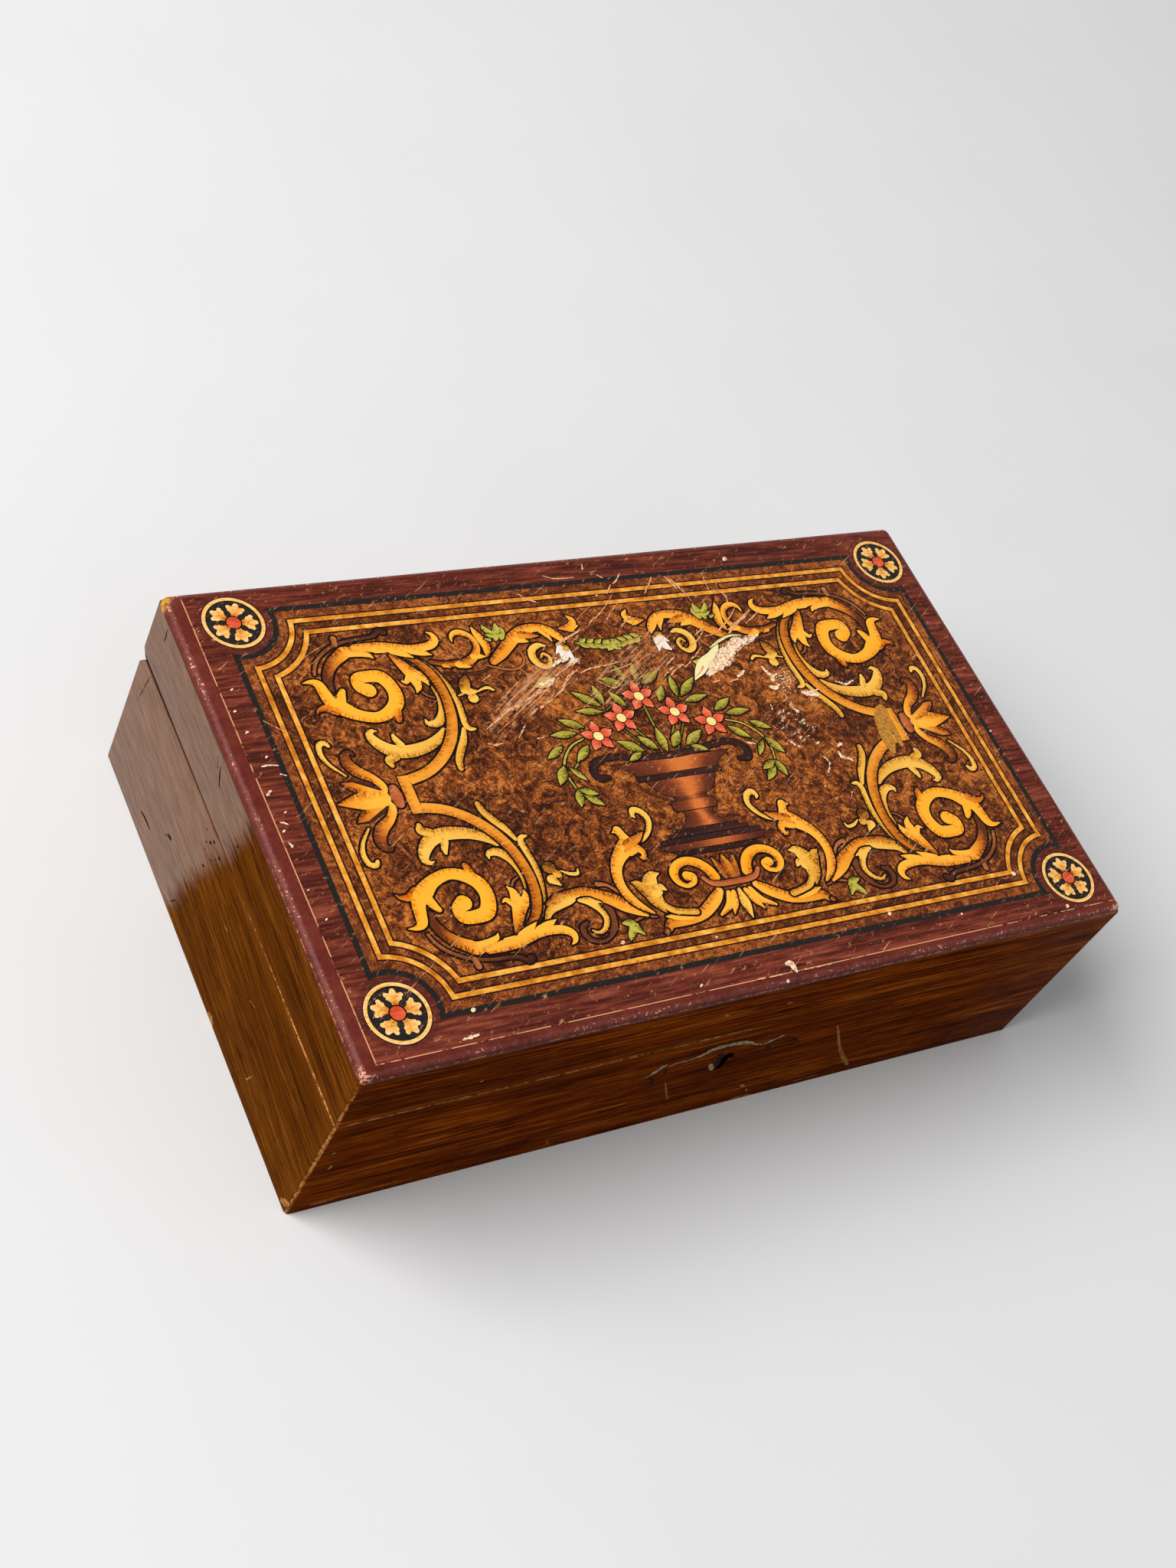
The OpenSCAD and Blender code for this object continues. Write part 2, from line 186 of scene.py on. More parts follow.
def noise(place, size, stretch=(1.0, 1.0, 1.0), detail=3.0, rough=0.5, warp=0.0, shift=0.0):
    """Soft noise with blotches of about size millimetres, drawn out by stretch."""
    scaled = place.make(
        "ShaderNodeMapping",
        {0: place, "Location": (shift, shift * 0.7, shift * 0.3),
         "Scale": tuple(1.0 / (size * part) for part in stretch)},
    )
    return place.make(
        "ShaderNodeTexNoise",
        {"Vector": scaled, "Scale": 1.0, "Detail": detail, "Roughness": rough, "Distortion": warp},
    )


def relief(height, depth, normal=None):
    """A bump of depth millimetres from a height of 0 to 1."""
    inputs = {"Height": height, "Distance": depth / 1000, "Strength": 1.0}
    if normal:
        inputs["Normal"] = normal
    return height.make("ShaderNodeBump", inputs)


def seen_rays(tree):
    """1 for the rays that show a surface, straight or mirrored or through glass."""
    rays = Wire(tree).make("ShaderNodeLightPath", {}).socket.node.outputs
    straight = Wire(tree, rays["Is Camera Ray"])
    mirrored_ray = Wire(tree, rays["Is Glossy Ray"])
    return straight.most(mirrored_ray).most(Wire(tree, rays["Is Transmission Ray"]))


camera_data = bpy.data.cameras.new("camera")
camera_data.lens = 50.182
camera_data.sensor_width = 36.0
camera = bpy.data.objects.new("camera", camera_data)
camera.matrix_world = Matrix((
    (0.84177, 0.13295, -0.52321, -0.33889),
    (-0.40294, 0.79972, -0.44507, -0.26824),
    (0.35925, 0.58547, 0.72675, 0.50234),
    (0.0, 0.0, 0.0, 1.0),
))
bpy.context.scene.collection.objects.link(camera)
bpy.context.scene.camera = camera
bpy.context.scene.view_settings.view_transform = "Standard"

window_data = bpy.data.lights.new("window", "AREA")
window_data.shape = "RECTANGLE"
window_data.size = 2.3
window_data.size_y = 1.65
window_data.energy = 103.0
window = bpy.data.objects.new("window", window_data)
window.location = (-1.88, 0.57, 2.01)
window.rotation_euler = Vector((1.15, -0.35, -1.2)).to_track_quat("-Z", "Y").to_euler()
bpy.context.scene.collection.objects.link(window)

room = bpy.data.worlds.new("room")
room.use_nodes = True
bpy.context.scene.world = room
room_colour = blend(
    seen_rays(room.node_tree), (0.34, 0.34, 0.35, 1.0), (0.80, 0.80, 0.80, 1.0)
)
room.node_tree.links.new(
    room_colour.socket, room.node_tree.nodes["Background"].inputs["Color"]
)

bpy.ops.object.select_all(action="DESELECT")
bpy.ops.mesh.primitive_plane_add(size=8.0, location=(0.0, 0.0, 0.0))
table = bpy.context.object
table.name = "table"
table_finish, table_shader, table_place = new_finish(
    "pale_table", Roughness=0.85, Specular_IOR_Level=0.1
)
table_tone = noise(table_place, 90.0, detail=4.0)
plug(
    table_shader,
    Base_Color=blend(
        seen_rays(table_place.tree),
        (0.34, 0.30, 0.27, 1.0),
        blend(table_tone, (0.70, 0.697, 0.69, 1.0), (0.735, 0.735, 0.73, 1.0)),
    ),
)
table.data.materials.append(table_finish)

# The walls of the base.
# Four boards of a dark varnished hardwood, 9 mm thick, mitred and glued at the corners. The
# varnish is worn through along the arrises, and the front has the ghost of a lost keyhole plate.

# Places on the box are in millimetres wherever a material measures them.
half_width = round(cad_high.x * 1000, 2)
half_depth = round(cad_high.y * 1000, 2)
wall_thick = 9.0
seam_z = 47.65
varnish_relief = 0.22


def pick(piece):
    """Selects one piece alone."""
    bpy.ops.object.select_all(action="DESELECT")
    piece.select_set(True)
    bpy.context.view_layer.objects.active = piece


def edit(piece):
    """Starts editing one piece, with nothing of it selected."""
    pick(piece)
    bpy.ops.object.mode_set(mode="EDIT")
    bpy.ops.mesh.select_mode(type="VERT")
    bpy.ops.mesh.select_all(action="DESELECT")


def pick_edges(piece, wanted):
    """Selects the edges for which wanted(edge) is true."""
    bpy.ops.mesh.select_mode(type="EDGE")
    mesh = bmesh.from_edit_mesh(piece.data)
    mesh.normal_update()
    for edge in mesh.edges:
        edge.select_set(bool(wanted(edge)))
    mesh.select_flush_mode()
    bmesh.update_edit_mesh(piece.data)


def wood_colours(place, along, seed):
    """Varnished hardwood with its grain along one axis: its colour and its pores."""
    axis = {"x": (1.0, 0.0, 0.0), "y": (0.0, 1.0, 0.0)}[along]
    long_way = tuple(1.0 + 27.0 * part for part in axis)
    short_way = tuple(1.0 + 13.0 * part for part in axis)
    if along == "y":
        place = place.make(
            "ShaderNodeVectorRotate",
            {"Vector": place, "Angle": -math.radians(5.0)},
            rotation_type="X_AXIS",
        )
    fibre = noise(place, 0.9, long_way, detail=6.0, rough=0.62, shift=seed)
    band = noise(place, 7.0, short_way, detail=3.0, warp=0.6, shift=seed + 9.0)
    cloud = noise(place, 30.0, short_way, detail=2.0, shift=seed + 4.0)
    pores = noise(place, 0.42, tuple(1.0 + 22.0 * part for part in axis), detail=2.0, shift=seed)
    pores = pores.fade(0.57, 0.70)
    value = fibre * 0.56 + band * 0.30 + cloud * 0.26
    reddish = ((0.42, 58, 20, 3), (0.52, 104, 42, 5), (0.59, 142, 66, 9), (0.70, 196, 112, 24))
    yellowish = ((0.42, 64, 31, 4), (0.52, 86, 43, 6), (0.59, 104, 56, 9), (0.70, 136, 82, 20))
    colour = value.ramp(*(reddish if along == "x" else yellowish))
    return blend(pores * 0.75, colour, rgb(30, 11, 4)), pores, fibre


def board_finish(name, along, seed):
    """The boards' varnished outside, worn arrises and bare inside."""
    finish, shader, place = new_finish(
        name,
        Specular_IOR_Level=0.001,
        Coat_IOR=1.7,
        Coat_Roughness=0.16,
    )
    x, y, z = sides(place)
    colour, pores, fibre = wood_colours(place, along, seed)
    blotch = noise(place, 9.0, detail=5.0, rough=0.6, shift=seed + 2.0)
    fine = noise(place, 1.6, detail=4.0, rough=0.65, shift=seed + 6.0)
    corner = (half_width - abs(x)).most(half_depth - abs(y))
    seam = abs(z - seam_z)
    run = x if along == "x" else y
    lip = noise(place, 1.2, (4.0, 4.0, 1.0), detail=4.0, rough=0.7, shift=seed + 8.0)
    worn = (1.0 - seam.fade(0.3, 1.0)) * (1.0 - run.fade(-8.0, 16.0)) * lip.fade(0.30, 0.46)
    worn = worn.most((1.0 - z.fade(0.0, 0.9)) * 0.9)
    worn = worn.most((1.0 - corner.fade(0.4, 1.6)) * (1.0 - z.fade(45.0, 70.0) * 0.3))
    worn = (worn * (blotch * 0.75 + fine * 0.75)).fade(0.44, 0.78)
    rubbed = (1.0 - corner.fade(1.0, 9.0)).most(1.0 - seam.fade(0.5, 6.0)) * blotch
    grime = (blotch * 0.6 + fine * 0.4).fade(0.50, 0.68)
    colour = blend(grime * 0.35, colour, rgb(40, 15, 6))
    colour = blend(rubbed * 0.28, colour, rgb(140, 78, 24))
    scratch = noise(place, 0.30, (26.0, 26.0, 1.0) if along == "x" else (1.0, 30.0, 1.2),
                    detail=1.0, shift=seed + 3.0).fade(0.74, 0.80)
    scratch = scratch * blotch.fade(0.5, 0.7)
    colour = blend(scratch * 0.50, colour, rgb(170, 106, 52))
    worn_tone = fine.ramp((0.4, 146, 88, 38), (0.6, 206, 144, 82))
    colour = blend(worn * 0.9, colour, worn_tone)
    depth = (abs(x) - half_width).most(abs(y) - half_depth)
    bare_colour = (fibre * 0.6 + blotch * 0.4).ramp(
        (0.32, 126, 84, 48),
        (0.55, 166, 118, 72),
        (0.75, 190, 146, 98),
    )
    inner = (1.0 - depth.fade(-1.9, -1.1)) * (1.0 - y.fade(71.6, 71.9))
    # The faces that meet at the seam are painted dark: painted shade in the gap between lid and
    # base.
    painted_seam_shade = (1.0 - depth.fade(-0.7, -0.3)) * (1.0 - seam.fade(1.4, 1.5))
    colour = blend(inner, colour, bare_colour)
    colour = blend(painted_seam_shade * 0.92, colour, rgb(38, 21, 14))
    rough = 0.30 + 0.22 * blotch + 0.25 * worn + 0.10 * fine
    rough = rough + inner * (0.75 - rough)
    height = fibre * 0.35 - pores * 0.7 - worn * 0.8 + blotch * 0.5
    return finish, shader, place, colour, rough, height


arris_wear = 0.00045
# The arrises above this height are covered by the top board, and stay sharp.
covered_z = 0.0682


def dress_board(node, body, finish):
    """A copy of a CAD board with its outer arrises rubbed round, in place of the board."""
    mesh = nodes[node].data.copy()
    mesh.materials.clear()
    board = bpy.data.objects.new(node + "_board", mesh)
    bpy.context.scene.collection.objects.link(board)
    edit(board)
    bpy.ops.mesh.select_all(action="SELECT")
    bpy.ops.mesh.remove_doubles(threshold=0.00001)
    bpy.ops.mesh.dissolve_limited(angle_limit=math.radians(1.0))
    bpy.ops.mesh.select_all(action="DESELECT")

    def outer_arris(edge):
        if len(edge.link_faces) != 2 or edge.calc_face_angle(0.0) < math.radians(20.0):
            return False
        flat, upright = sorted(edge.link_faces, key=lambda face: -abs(face.normal.z))
        middle = (edge.verts[0].co + edge.verts[1].co) / 2
        if abs(flat.normal.z) < 0.5 or abs(upright.normal.z) > 0.3:
            return False
        outward = Vector((middle.x / cad_high.x, middle.y / cad_high.y, 0.0))
        reach = max(abs(outward.x), abs(outward.y))
        return reach > 0.985 and upright.normal.dot(outward) > 0.3 and middle.z < covered_z

    pick_edges(board, outer_arris)
    bpy.ops.mesh.bevel(offset=arris_wear, segments=3, affect="EDGES", clamp_overlap=True)
    bpy.ops.object.mode_set(mode="OBJECT")
    bpy.ops.object.shade_smooth_by_angle(angle=math.radians(32.0))
    mesh.materials.append(finish)
    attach(board, body)
    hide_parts(node)


long_finish, long_shader, long_place, long_colour, long_rough, long_height = board_finish(
    "varnished_long_boards", "x", 3.0
)
front_x, front_y, front_z = sides(long_place)
front_side = 1.0 - front_y.fade(0.1 - half_depth, 1.0 - half_depth)
front_fine = noise(long_place, 2.2, detail=4.0, rough=0.65, shift=31.0)
# The lost plate was an oval, 27 mm to each side of the keyhole: its rim's square is ghost_rim.
ghost_rim = 745.0
over_ghost = front_z - 26.0
ghost_edge = front_x * front_x + over_ghost * over_ghost * 3.6 + (front_fine - 0.5) * 260.0
ghost = (1.0 - ghost_edge.fade(ghost_rim - 55.0, ghost_rim + 55.0)) * front_side
ghost_line = (1.0 - abs(ghost_edge - ghost_rim).fade(8.0, 60.0)) * front_side
ghost_line = ghost_line * front_z.fade(26.0, 31.0) * front_fine.fade(0.42, 0.58)
over_round = front_z - 31.0
around_hole = front_x * front_x * 0.35 + over_round * over_round
hole_scuff = noise(long_place, 0.9, (5.0, 1.0, 1.0), detail=4.0, rough=0.7, shift=12.0)
hole_scuff = (hole_scuff - around_hole * 0.0022).fade(0.50, 0.58) * front_side
# The walls of the keyhole are painted near black: painted shade inside the hole.
over_middle = front_z - 29.0
key_span = front_x * front_x + over_middle * over_middle * 0.5
keyhole_shade = (1.0 - key_span.fade(14.0, 16.0)) * front_y.fade(0.1 - half_depth, 0.5 - half_depth)
keyhole_shade = keyhole_shade * (1.0 - front_y.fade(-66.8, -66.0))
long_colour = blend(ghost * 0.22, long_colour, rgb(66, 24, 12))
long_colour = blend(ghost_line * 0.75, long_colour, rgb(22, 11, 8))
long_colour = blend(hole_scuff * 0.7, long_colour, rgb(26, 14, 10))
long_colour = blend(keyhole_shade, long_colour, rgb(16, 8, 5))
plug(
    long_shader,
    Base_Color=long_colour,
    Coat_Weight=front_side * front_x.fade(70.0, 124.0) * 0.04,
    Roughness=long_rough,
    Normal=relief(long_height - hole_scuff * 0.6, varnish_relief),
)

short_finish, short_shader, short_place, short_colour, short_rough, short_height = board_finish(
    "varnished_end_boards", "y", 17.0
)
short_x, short_y, short_z = sides(short_place)
reflection_streak = noise(short_place, 1.6, (1.0, 6.0, 1.0), detail=4.0, rough=0.6, shift=33.0)
reflection_cloud = noise(short_place, 16.0, (1.0, 2.0, 1.0), detail=3.0, shift=34.0)
# Behind a slanting line the left side is painted pale and grey, a painted reflection, and its
# clear coat is glossier there.
painted_reflection = short_y - 22.0 + short_z * 0.324 + (reflection_streak - 0.5) * 12.0 + (reflection_cloud - 0.5) * 10.0
painted_reflection = painted_reflection.fade(-4.0, 5.0) * (1.0 - short_x.fade(0.1 - half_width, 0.8 - half_width))
reflection_tone = reflection_streak.ramp((0.30, 118, 88, 70), (0.70, 158, 126, 104))
short_colour = blend(painted_reflection * 0.50, short_colour, reflection_tone)
# On the left the seam has opened towards the back, and the shade in the opening is painted on as a
# dark line.
gap_z = 48.0
painted_gap_shade = abs(short_z - gap_z) - (short_y + 6.0) * 0.010
painted_gap_shade = (1.0 - painted_gap_shade.fade(0.05, 0.30)) * short_y.fade(-6.0, 6.0)
short_colour = blend(painted_gap_shade * 0.92, short_colour, rgb(30, 20, 17))
plug(
    short_shader,
    Base_Color=short_colour,
    Coat_Weight=painted_reflection * 0.32 * (1.0 - painted_gap_shade),
    Roughness=short_rough,
    Normal=relief(short_height, varnish_relief),
)

dress_board("base_front", "base", long_finish)
dress_board("base_back", "base", long_finish)
dress_board("base_left", "base", short_finish)
dress_board("base_right", "base", short_finish)

# The bottom board and its pins.
# A thin board of bare softwood lies in a rebate of the walls. Twelve iron pins hold it from below.


def paint(node, finish):
    """Gives a CAD node a new finish."""
    nodes[node].data.materials.clear()
    nodes[node].data.materials.append(finish)


bare_finish, bare_shader, bare_place = new_finish("bare_softwood", Specular_IOR_Level=0.25)
bare_fibre = noise(bare_place, 1.0, (45.0, 1.0, 1.0), detail=6.0, rough=0.6, shift=40.0)
bare_rings = noise(bare_place, 9.0, (16.0, 1.0, 1.0), detail=2.0, warp=0.5, shift=41.0)
bare_dirt = noise(bare_place, 26.0, detail=6.0, rough=0.62, shift=42.0)
bare_spots = noise(bare_place, 1.2, detail=3.0, shift=43.0).fade(0.64, 0.72)
bare_colour = (bare_fibre * 0.5 + bare_rings * 0.5).ramp(
    (0.34, 116, 76, 42),
    (0.50, 158, 112, 66),
    (0.66, 186, 142, 92),
)
bare_colour = blend(bare_dirt.fade(0.48, 0.70) * 0.5, bare_colour, rgb(98, 66, 42))
bare_colour = blend(bare_spots * 0.35, bare_colour, rgb(70, 46, 30))
plug(
    bare_shader,
    Base_Color=bare_colour,
    Roughness=0.62 + 0.25 * bare_fibre,
    Normal=relief(bare_fibre * 0.7 + bare_rings * 0.3 - bare_spots * 0.4, 0.18),
)
paint("bottom_board", bare_finish)

iron_finish, iron_shader, iron_place = new_finish("dull_iron", Metallic=1.0)
iron_cloud = noise(iron_place, 2.4, detail=5.0, rough=0.65)
iron_grit = noise(iron_place, 0.25, detail=2.0)
iron_rust = (iron_cloud * 0.7 + iron_grit * 0.3).fade(0.54, 0.66)
plug(
    iron_shader,
    Base_Color=blend(
        iron_rust * 0.8,
        iron_cloud.ramp((0.3, 104, 98, 92), (0.7, 150, 144, 136)),
        rgb(104, 62, 40),
    ),
    Roughness=0.42 + 0.22 * iron_cloud + 0.25 * iron_rust,
    Normal=relief(iron_grit * 0.4 + iron_cloud * 0.6, 0.06),
)
paint("bottom_pins", iron_finish)

# The paper on the floor of the base.
# A sheet of cream lining paper, pasted down on the bottom board. It is foxed, and a little soiled
# where things have rubbed it.

paper_finish, paper_shader, paper_place = new_finish("lining_paper", Specular_IOR_Level=0.2)
paper_pulp = noise(paper_place, 0.8, detail=4.0, rough=0.6)
paper_soil = noise(paper_place, 38.0, detail=6.0, rough=0.6, shift=3.0)
paper_fox = noise(paper_place, 3.4, detail=3.0, shift=8.0).fade(0.66, 0.76)
paper_x, paper_y, _ = sides(paper_place)
paper_rim = (abs(paper_x) - (half_width - wall_thick)).most(
    abs(paper_y) - (half_depth - wall_thick)
)
paper_rim = paper_rim.fade(-9.0, 0.0)
paper_colour = paper_pulp.ramp((0.35, 208, 194, 160), (0.65, 222, 210, 178))
paper_colour = blend(paper_soil.fade(0.5, 0.72) * 0.45, paper_colour, rgb(174, 148, 106))
paper_colour = blend(paper_rim * 0.40, paper_colour, rgb(158, 126, 84))
paper_colour = blend(paper_fox * 0.45, paper_colour, rgb(160, 112, 66))
plug(
    paper_shader,
    Base_Color=paper_colour,
    Roughness=0.82 + 0.12 * paper_pulp,
    Normal=relief(paper_pulp * 0.4 + paper_soil * 0.6, 0.10),
)
paint("floor_paper", paper_finish)

# The divider.
# A thin slip of bare wood with a rounded top, let into the front and back walls: pens on its
# right, note paper on its left.

slip_finish, slip_shader, slip_place = new_finish("bare_divider", Specular_IOR_Level=0.3)
slip_fibre = noise(slip_place, 0.8, (1.0, 40.0, 1.0), detail=6.0, rough=0.6, shift=61.0)
slip_cloud = noise(slip_place, 14.0, (1.0, 4.0, 1.0), detail=4.0, shift=62.0)
slip_z = sides(slip_place)[2]
slip_polish = slip_z.fade(31.0, 34.2)
slip_colour = (slip_fibre * 0.6 + slip_cloud * 0.4).ramp(
    (0.34, 128, 86, 48),
    (0.52, 168, 120, 72),
    (0.70, 194, 150, 100),
)
slip_colour = blend(slip_polish * 0.4, slip_colour, rgb(112, 70, 38))
plug(
    slip_shader,
    Base_Color=slip_colour,
    Roughness=0.66 - 0.22 * slip_polish + 0.15 * slip_fibre,
    Normal=relief(slip_fibre, 0.14),
)
paint("divider", slip_finish)

# The lock.
# A small box lock let into the front wall: a brass plate and bolt, an iron case, spring and drill
# pin, and four iron screws. The brass is dull and brown in its hollows.

brass_finish, brass_shader, brass_place = new_finish("aged_brass", Metallic=1.0)
brass_cloud = noise(brass_place, 5.0, detail=5.0, rough=0.6)
brass_grain = noise(brass_place, 0.35, (9.0, 1.0, 1.0), detail=2.0)
brass_spot = noise(brass_place, 1.1, detail=3.0, shift=5.0).fade(0.60, 0.70)
brass_colour = (brass_cloud * 0.7 + brass_grain * 0.3).ramp(
    (0.32, 140, 106, 54),
    (0.52, 180, 142, 78),
    (0.70, 206, 172, 106),
)
plug(
    brass_shader,
    Base_Color=blend(brass_spot * 0.7, brass_colour, rgb(92, 64, 34)),
    Roughness=0.30 + 0.24 * brass_cloud + 0.22 * brass_spot,
    Normal=relief(brass_grain * 0.5 + brass_cloud * 0.5 - brass_spot * 0.3, 0.05),
)
for brass_node in ("lock_plate", "lock_bolt"):
    paint(brass_node, brass_finish)
for iron_node in ("lock_case", "lock_spring", "lock_drill_pin", "lock_screws"):
    paint(iron_node, iron_finish)

# The hinges.
# Two small brass butt hinges let into the back wall and the lid's back rim, each on an iron pin
# and with two brass screws in each leaf.

for hinge_node in (
    "hinge_left_base_leaf",
    "hinge_left_lid_leaf",
    "hinge_right_base_leaf",
    "hinge_right_lid_leaf",
    "hinge_base_screws",
    "hinge_lid_screws",
):
    paint(hinge_node, brass_finish)
for pin_node in ("hinge_left_pin", "hinge_right_pin"):
    paint(pin_node, iron_finish)

# The rim of the lid.
# Four mitred boards, sawn off the same box as the base so that the grain runs on over the seam.

dress_board("lid_front", "lid", long_finish)
dress_board("lid_back", "lid", long_finish)
dress_board("lid_left", "lid", short_finish)
dress_board("lid_right", "lid", short_finish)

# The top of the lid.
# A thin board glued on the rim, its edge rounded over and painted maroon. The paint has crazed
# and chipped, and the corners are rubbed down to the wood.

panel_low, panel_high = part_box("lid_panel")
corner_round = 0.0024
edge_round = 0.0022
panel_flat = (0.1228, 0.0728)
waver = 0.00006
field_x = 0.0102
field_y = 0.0105
bpy.ops.object.select_all(action="DESELECT")
bpy.ops.mesh.primitive_cube_add(size=1.0, location=(panel_low + panel_high) / 2)
panel = bpy.context.object
panel.name = "lid_top_board"
panel.dimensions = panel_high - panel_low
bpy.ops.object.transform_apply(location=True, rotation=True, scale=True)
edit(panel)
pick_edges(panel, lambda edge: abs(edge.verts[0].co.z - edge.verts[1].co.z) > 0.001)
bpy.ops.mesh.bevel(offset=corner_round, segments=6, affect="EDGES")
bpy.ops.mesh.select_all(action="DESELECT")
pick_edges(panel, lambda edge: min(v.co.z for v in edge.verts) > panel_high.z - 0.0001)
bpy.ops.mesh.bevel(offset=edge_round, segments=6, affect="EDGES")
bpy.ops.mesh.select_all(action="DESELECT")
# The board is cut into fields of about a centimetre, so that its edge has corners to waver.
for cut_at in range(-11, 12):
    bpy.ops.mesh.select_all(action="SELECT")
    bpy.ops.mesh.bisect(plane_co=(cut_at * field_x, 0.0, 0.0), plane_no=(1.0, 0.0, 0.0))
for cut_at in range(-6, 7):
    bpy.ops.mesh.select_all(action="SELECT")
    bpy.ops.mesh.bisect(plane_co=(0.0, cut_at * field_y, 0.0), plane_no=(0.0, 1.0, 0.0))
bpy.ops.object.mode_set(mode="OBJECT")
for corner in panel.data.vertices:
    # The hand-rounded edge wavers by a tenth of a millimetre, always inwards.
    if corner.co.z > panel_low.z + 0.0001:
        wave = math.sin(corner.co.x * 91.0 + 1.0) + math.sin(corner.co.y * 117.0 + 2.0)
        pull = waver * (wave + 2.0) / 2
        for axis in (0, 1):
            if abs(corner.co[axis]) > panel_flat[axis]:
                corner.co[axis] -= math.copysign(pull, corner.co[axis])
bpy.ops.object.shade_smooth_by_angle(angle=math.radians(40.0))

maroon_finish, maroon_shader, maroon_place = new_finish(
    "maroon_paint", Specular_IOR_Level=0.12
)
maroon_x, maroon_y, maroon_z = sides(maroon_place)
maroon_blot = noise(maroon_place, 7.0, detail=5.0, rough=0.62, shift=70.0)
maroon_fine = noise(maroon_place, 1.3, detail=4.0, rough=0.65, shift=71.0)
maroon_chip = noise(maroon_place, 0.75, detail=3.0, rough=0.6, shift=72.0)
maroon_out = (abs(maroon_x) - half_width).most(abs(maroon_y) - half_depth)
maroon_arris = 1.0 - abs(maroon_out + 1.1).fade(0.2, 1.3)
maroon_corner = (half_width - abs(maroon_x)) + (half_depth - abs(maroon_y))
maroon_corner = 1.0 - maroon_corner.fade(1.0, 8.0)
maroon_worn = maroon_arris * 0.15 + maroon_corner * 0.16 + maroon_chip * 0.8 + maroon_blot * 0.3
maroon_worn = maroon_worn.fade(0.76, 0.84)
maroon_colour = (maroon_blot * 0.6 + maroon_fine * 0.4).ramp(
    (0.34, 78, 26, 18),
    (0.50, 96, 34, 24),
    (0.66, 110, 46, 34),
)
maroon_low = 1.0 - maroon_z.fade(68.5, 69.6)
maroon_colour = blend(maroon_low * 0.8, maroon_colour, rgb(72, 32, 16))
# Along the rounded arris the paint is lighter and mottled: partly rubbed paint, partly a painted
# sheen.
maroon_rub_and_sheen = (maroon_arris * 0.45 + maroon_fine * 0.7 + maroon_blot * 0.4).fade(0.72, 1.0)
maroon_colour = blend(maroon_rub_and_sheen * 0.55, maroon_colour, rgb(112, 60, 54))
maroon_line = (1.0 - abs(maroon_z - 69.2).fade(0.10, 0.28)) * maroon_out.fade(-1.2, -0.7)
maroon_line = maroon_line * (maroon_fine + maroon_blot * 0.5).fade(0.74, 0.82)
maroon_line = maroon_line * (1.0 - maroon_y.fade(-30.0, 0.0))
maroon_colour = blend(maroon_line * 0.9, maroon_colour, rgb(196, 124, 70))
maroon_colour = blend(maroon_worn, maroon_colour, rgb(214, 150, 124))
# The back left corner is rubbed down to the wood.
rubbed_x = maroon_x + half_width
rubbed_y = (half_depth - maroon_y) * 0.75
maroon_bare = (rubbed_x * rubbed_x + rubbed_y * rubbed_y).root() + (maroon_blot - 0.5) * 5.0
maroon_bare = 1.0 - (maroon_bare + (maroon_fine - 0.5) * 3.0).fade(3.4, 4.2)
maroon_bare_tone = maroon_fine.ramp((0.35, 132, 84, 24), (0.62, 216, 162, 66))
maroon_colour = blend(maroon_bare, maroon_colour, maroon_bare_tone)
plug(
    maroon_shader,
    Base_Color=maroon_colour,
    Roughness=0.28 + 0.25 * maroon_blot + 0.35 * maroon_worn,
    Normal=relief(maroon_blot * 0.8 + maroon_fine * 0.35 - maroon_worn * 0.5, 0.35),
)
panel.data.materials.append(maroon_finish)
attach(panel, "lid")
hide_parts("lid_panel")

# The link plate.
# The lock's other half, let into the lid's front rim: a brass plate with two staples that the
# bolt slides into, held by two iron screws.

paint("link_plate", brass_finish)
paint("link_staples", brass_finish)
paint("link_screws", iron_finish)

# The paper inside the lid.
# The same cream lining paper as on the floor of the base, pasted under the top board.

paint("lid_paper", paper_finish)

# The printed sheet.
# A varnished print of inlaid work, pasted on the top board: a border of rosewood, a black band and
# two yellow lines scooped in at the corners, and a field of burr, scuffed and flaked to the paper.


def turned(place, degrees, centre=(0.0, 0.0, 0.0)):
    """The place measured along and across a line at that angle through centre."""
    moved = place.make("ShaderNodeVectorMath", {0: place, 1: centre}, operation="SUBTRACT")
    return place.make(
        "ShaderNodeVectorRotate",
        {"Vector": moved, "Angle": -math.radians(degrees)},
        rotation_type="Z_AXIS",
    )


def patch(place, centre, degrees, half_long, half_wide):
    """1 in the middle of an oval, falling to 0 at its rim."""
    x, y, z = sides(turned(place, degrees, (*centre, 0.0)))
    far = (x * x / (half_long * half_long) + y * y / (half_wide * half_wide)).root()
    return 1.0 - far.fade(0.0, 1.0)


print_scale = 0.983
print_skew = -0.5
print_shift = (-0.48, -0.75)
print_relief = 0.20
border_x = 2.0
border_y = 1.4
rosette_x = 112.3
rosette_y = 62.3


def on_print(place):
    """The place in the drawing's own millimetres: the print is pasted on a little askew."""
    straight = turned(place, print_skew, (*print_shift, 0.0))
    return place.make(
        "ShaderNodeVectorMath", {0: straight, "Scale": 1.0 / print_scale}, operation="SCALE"
    )


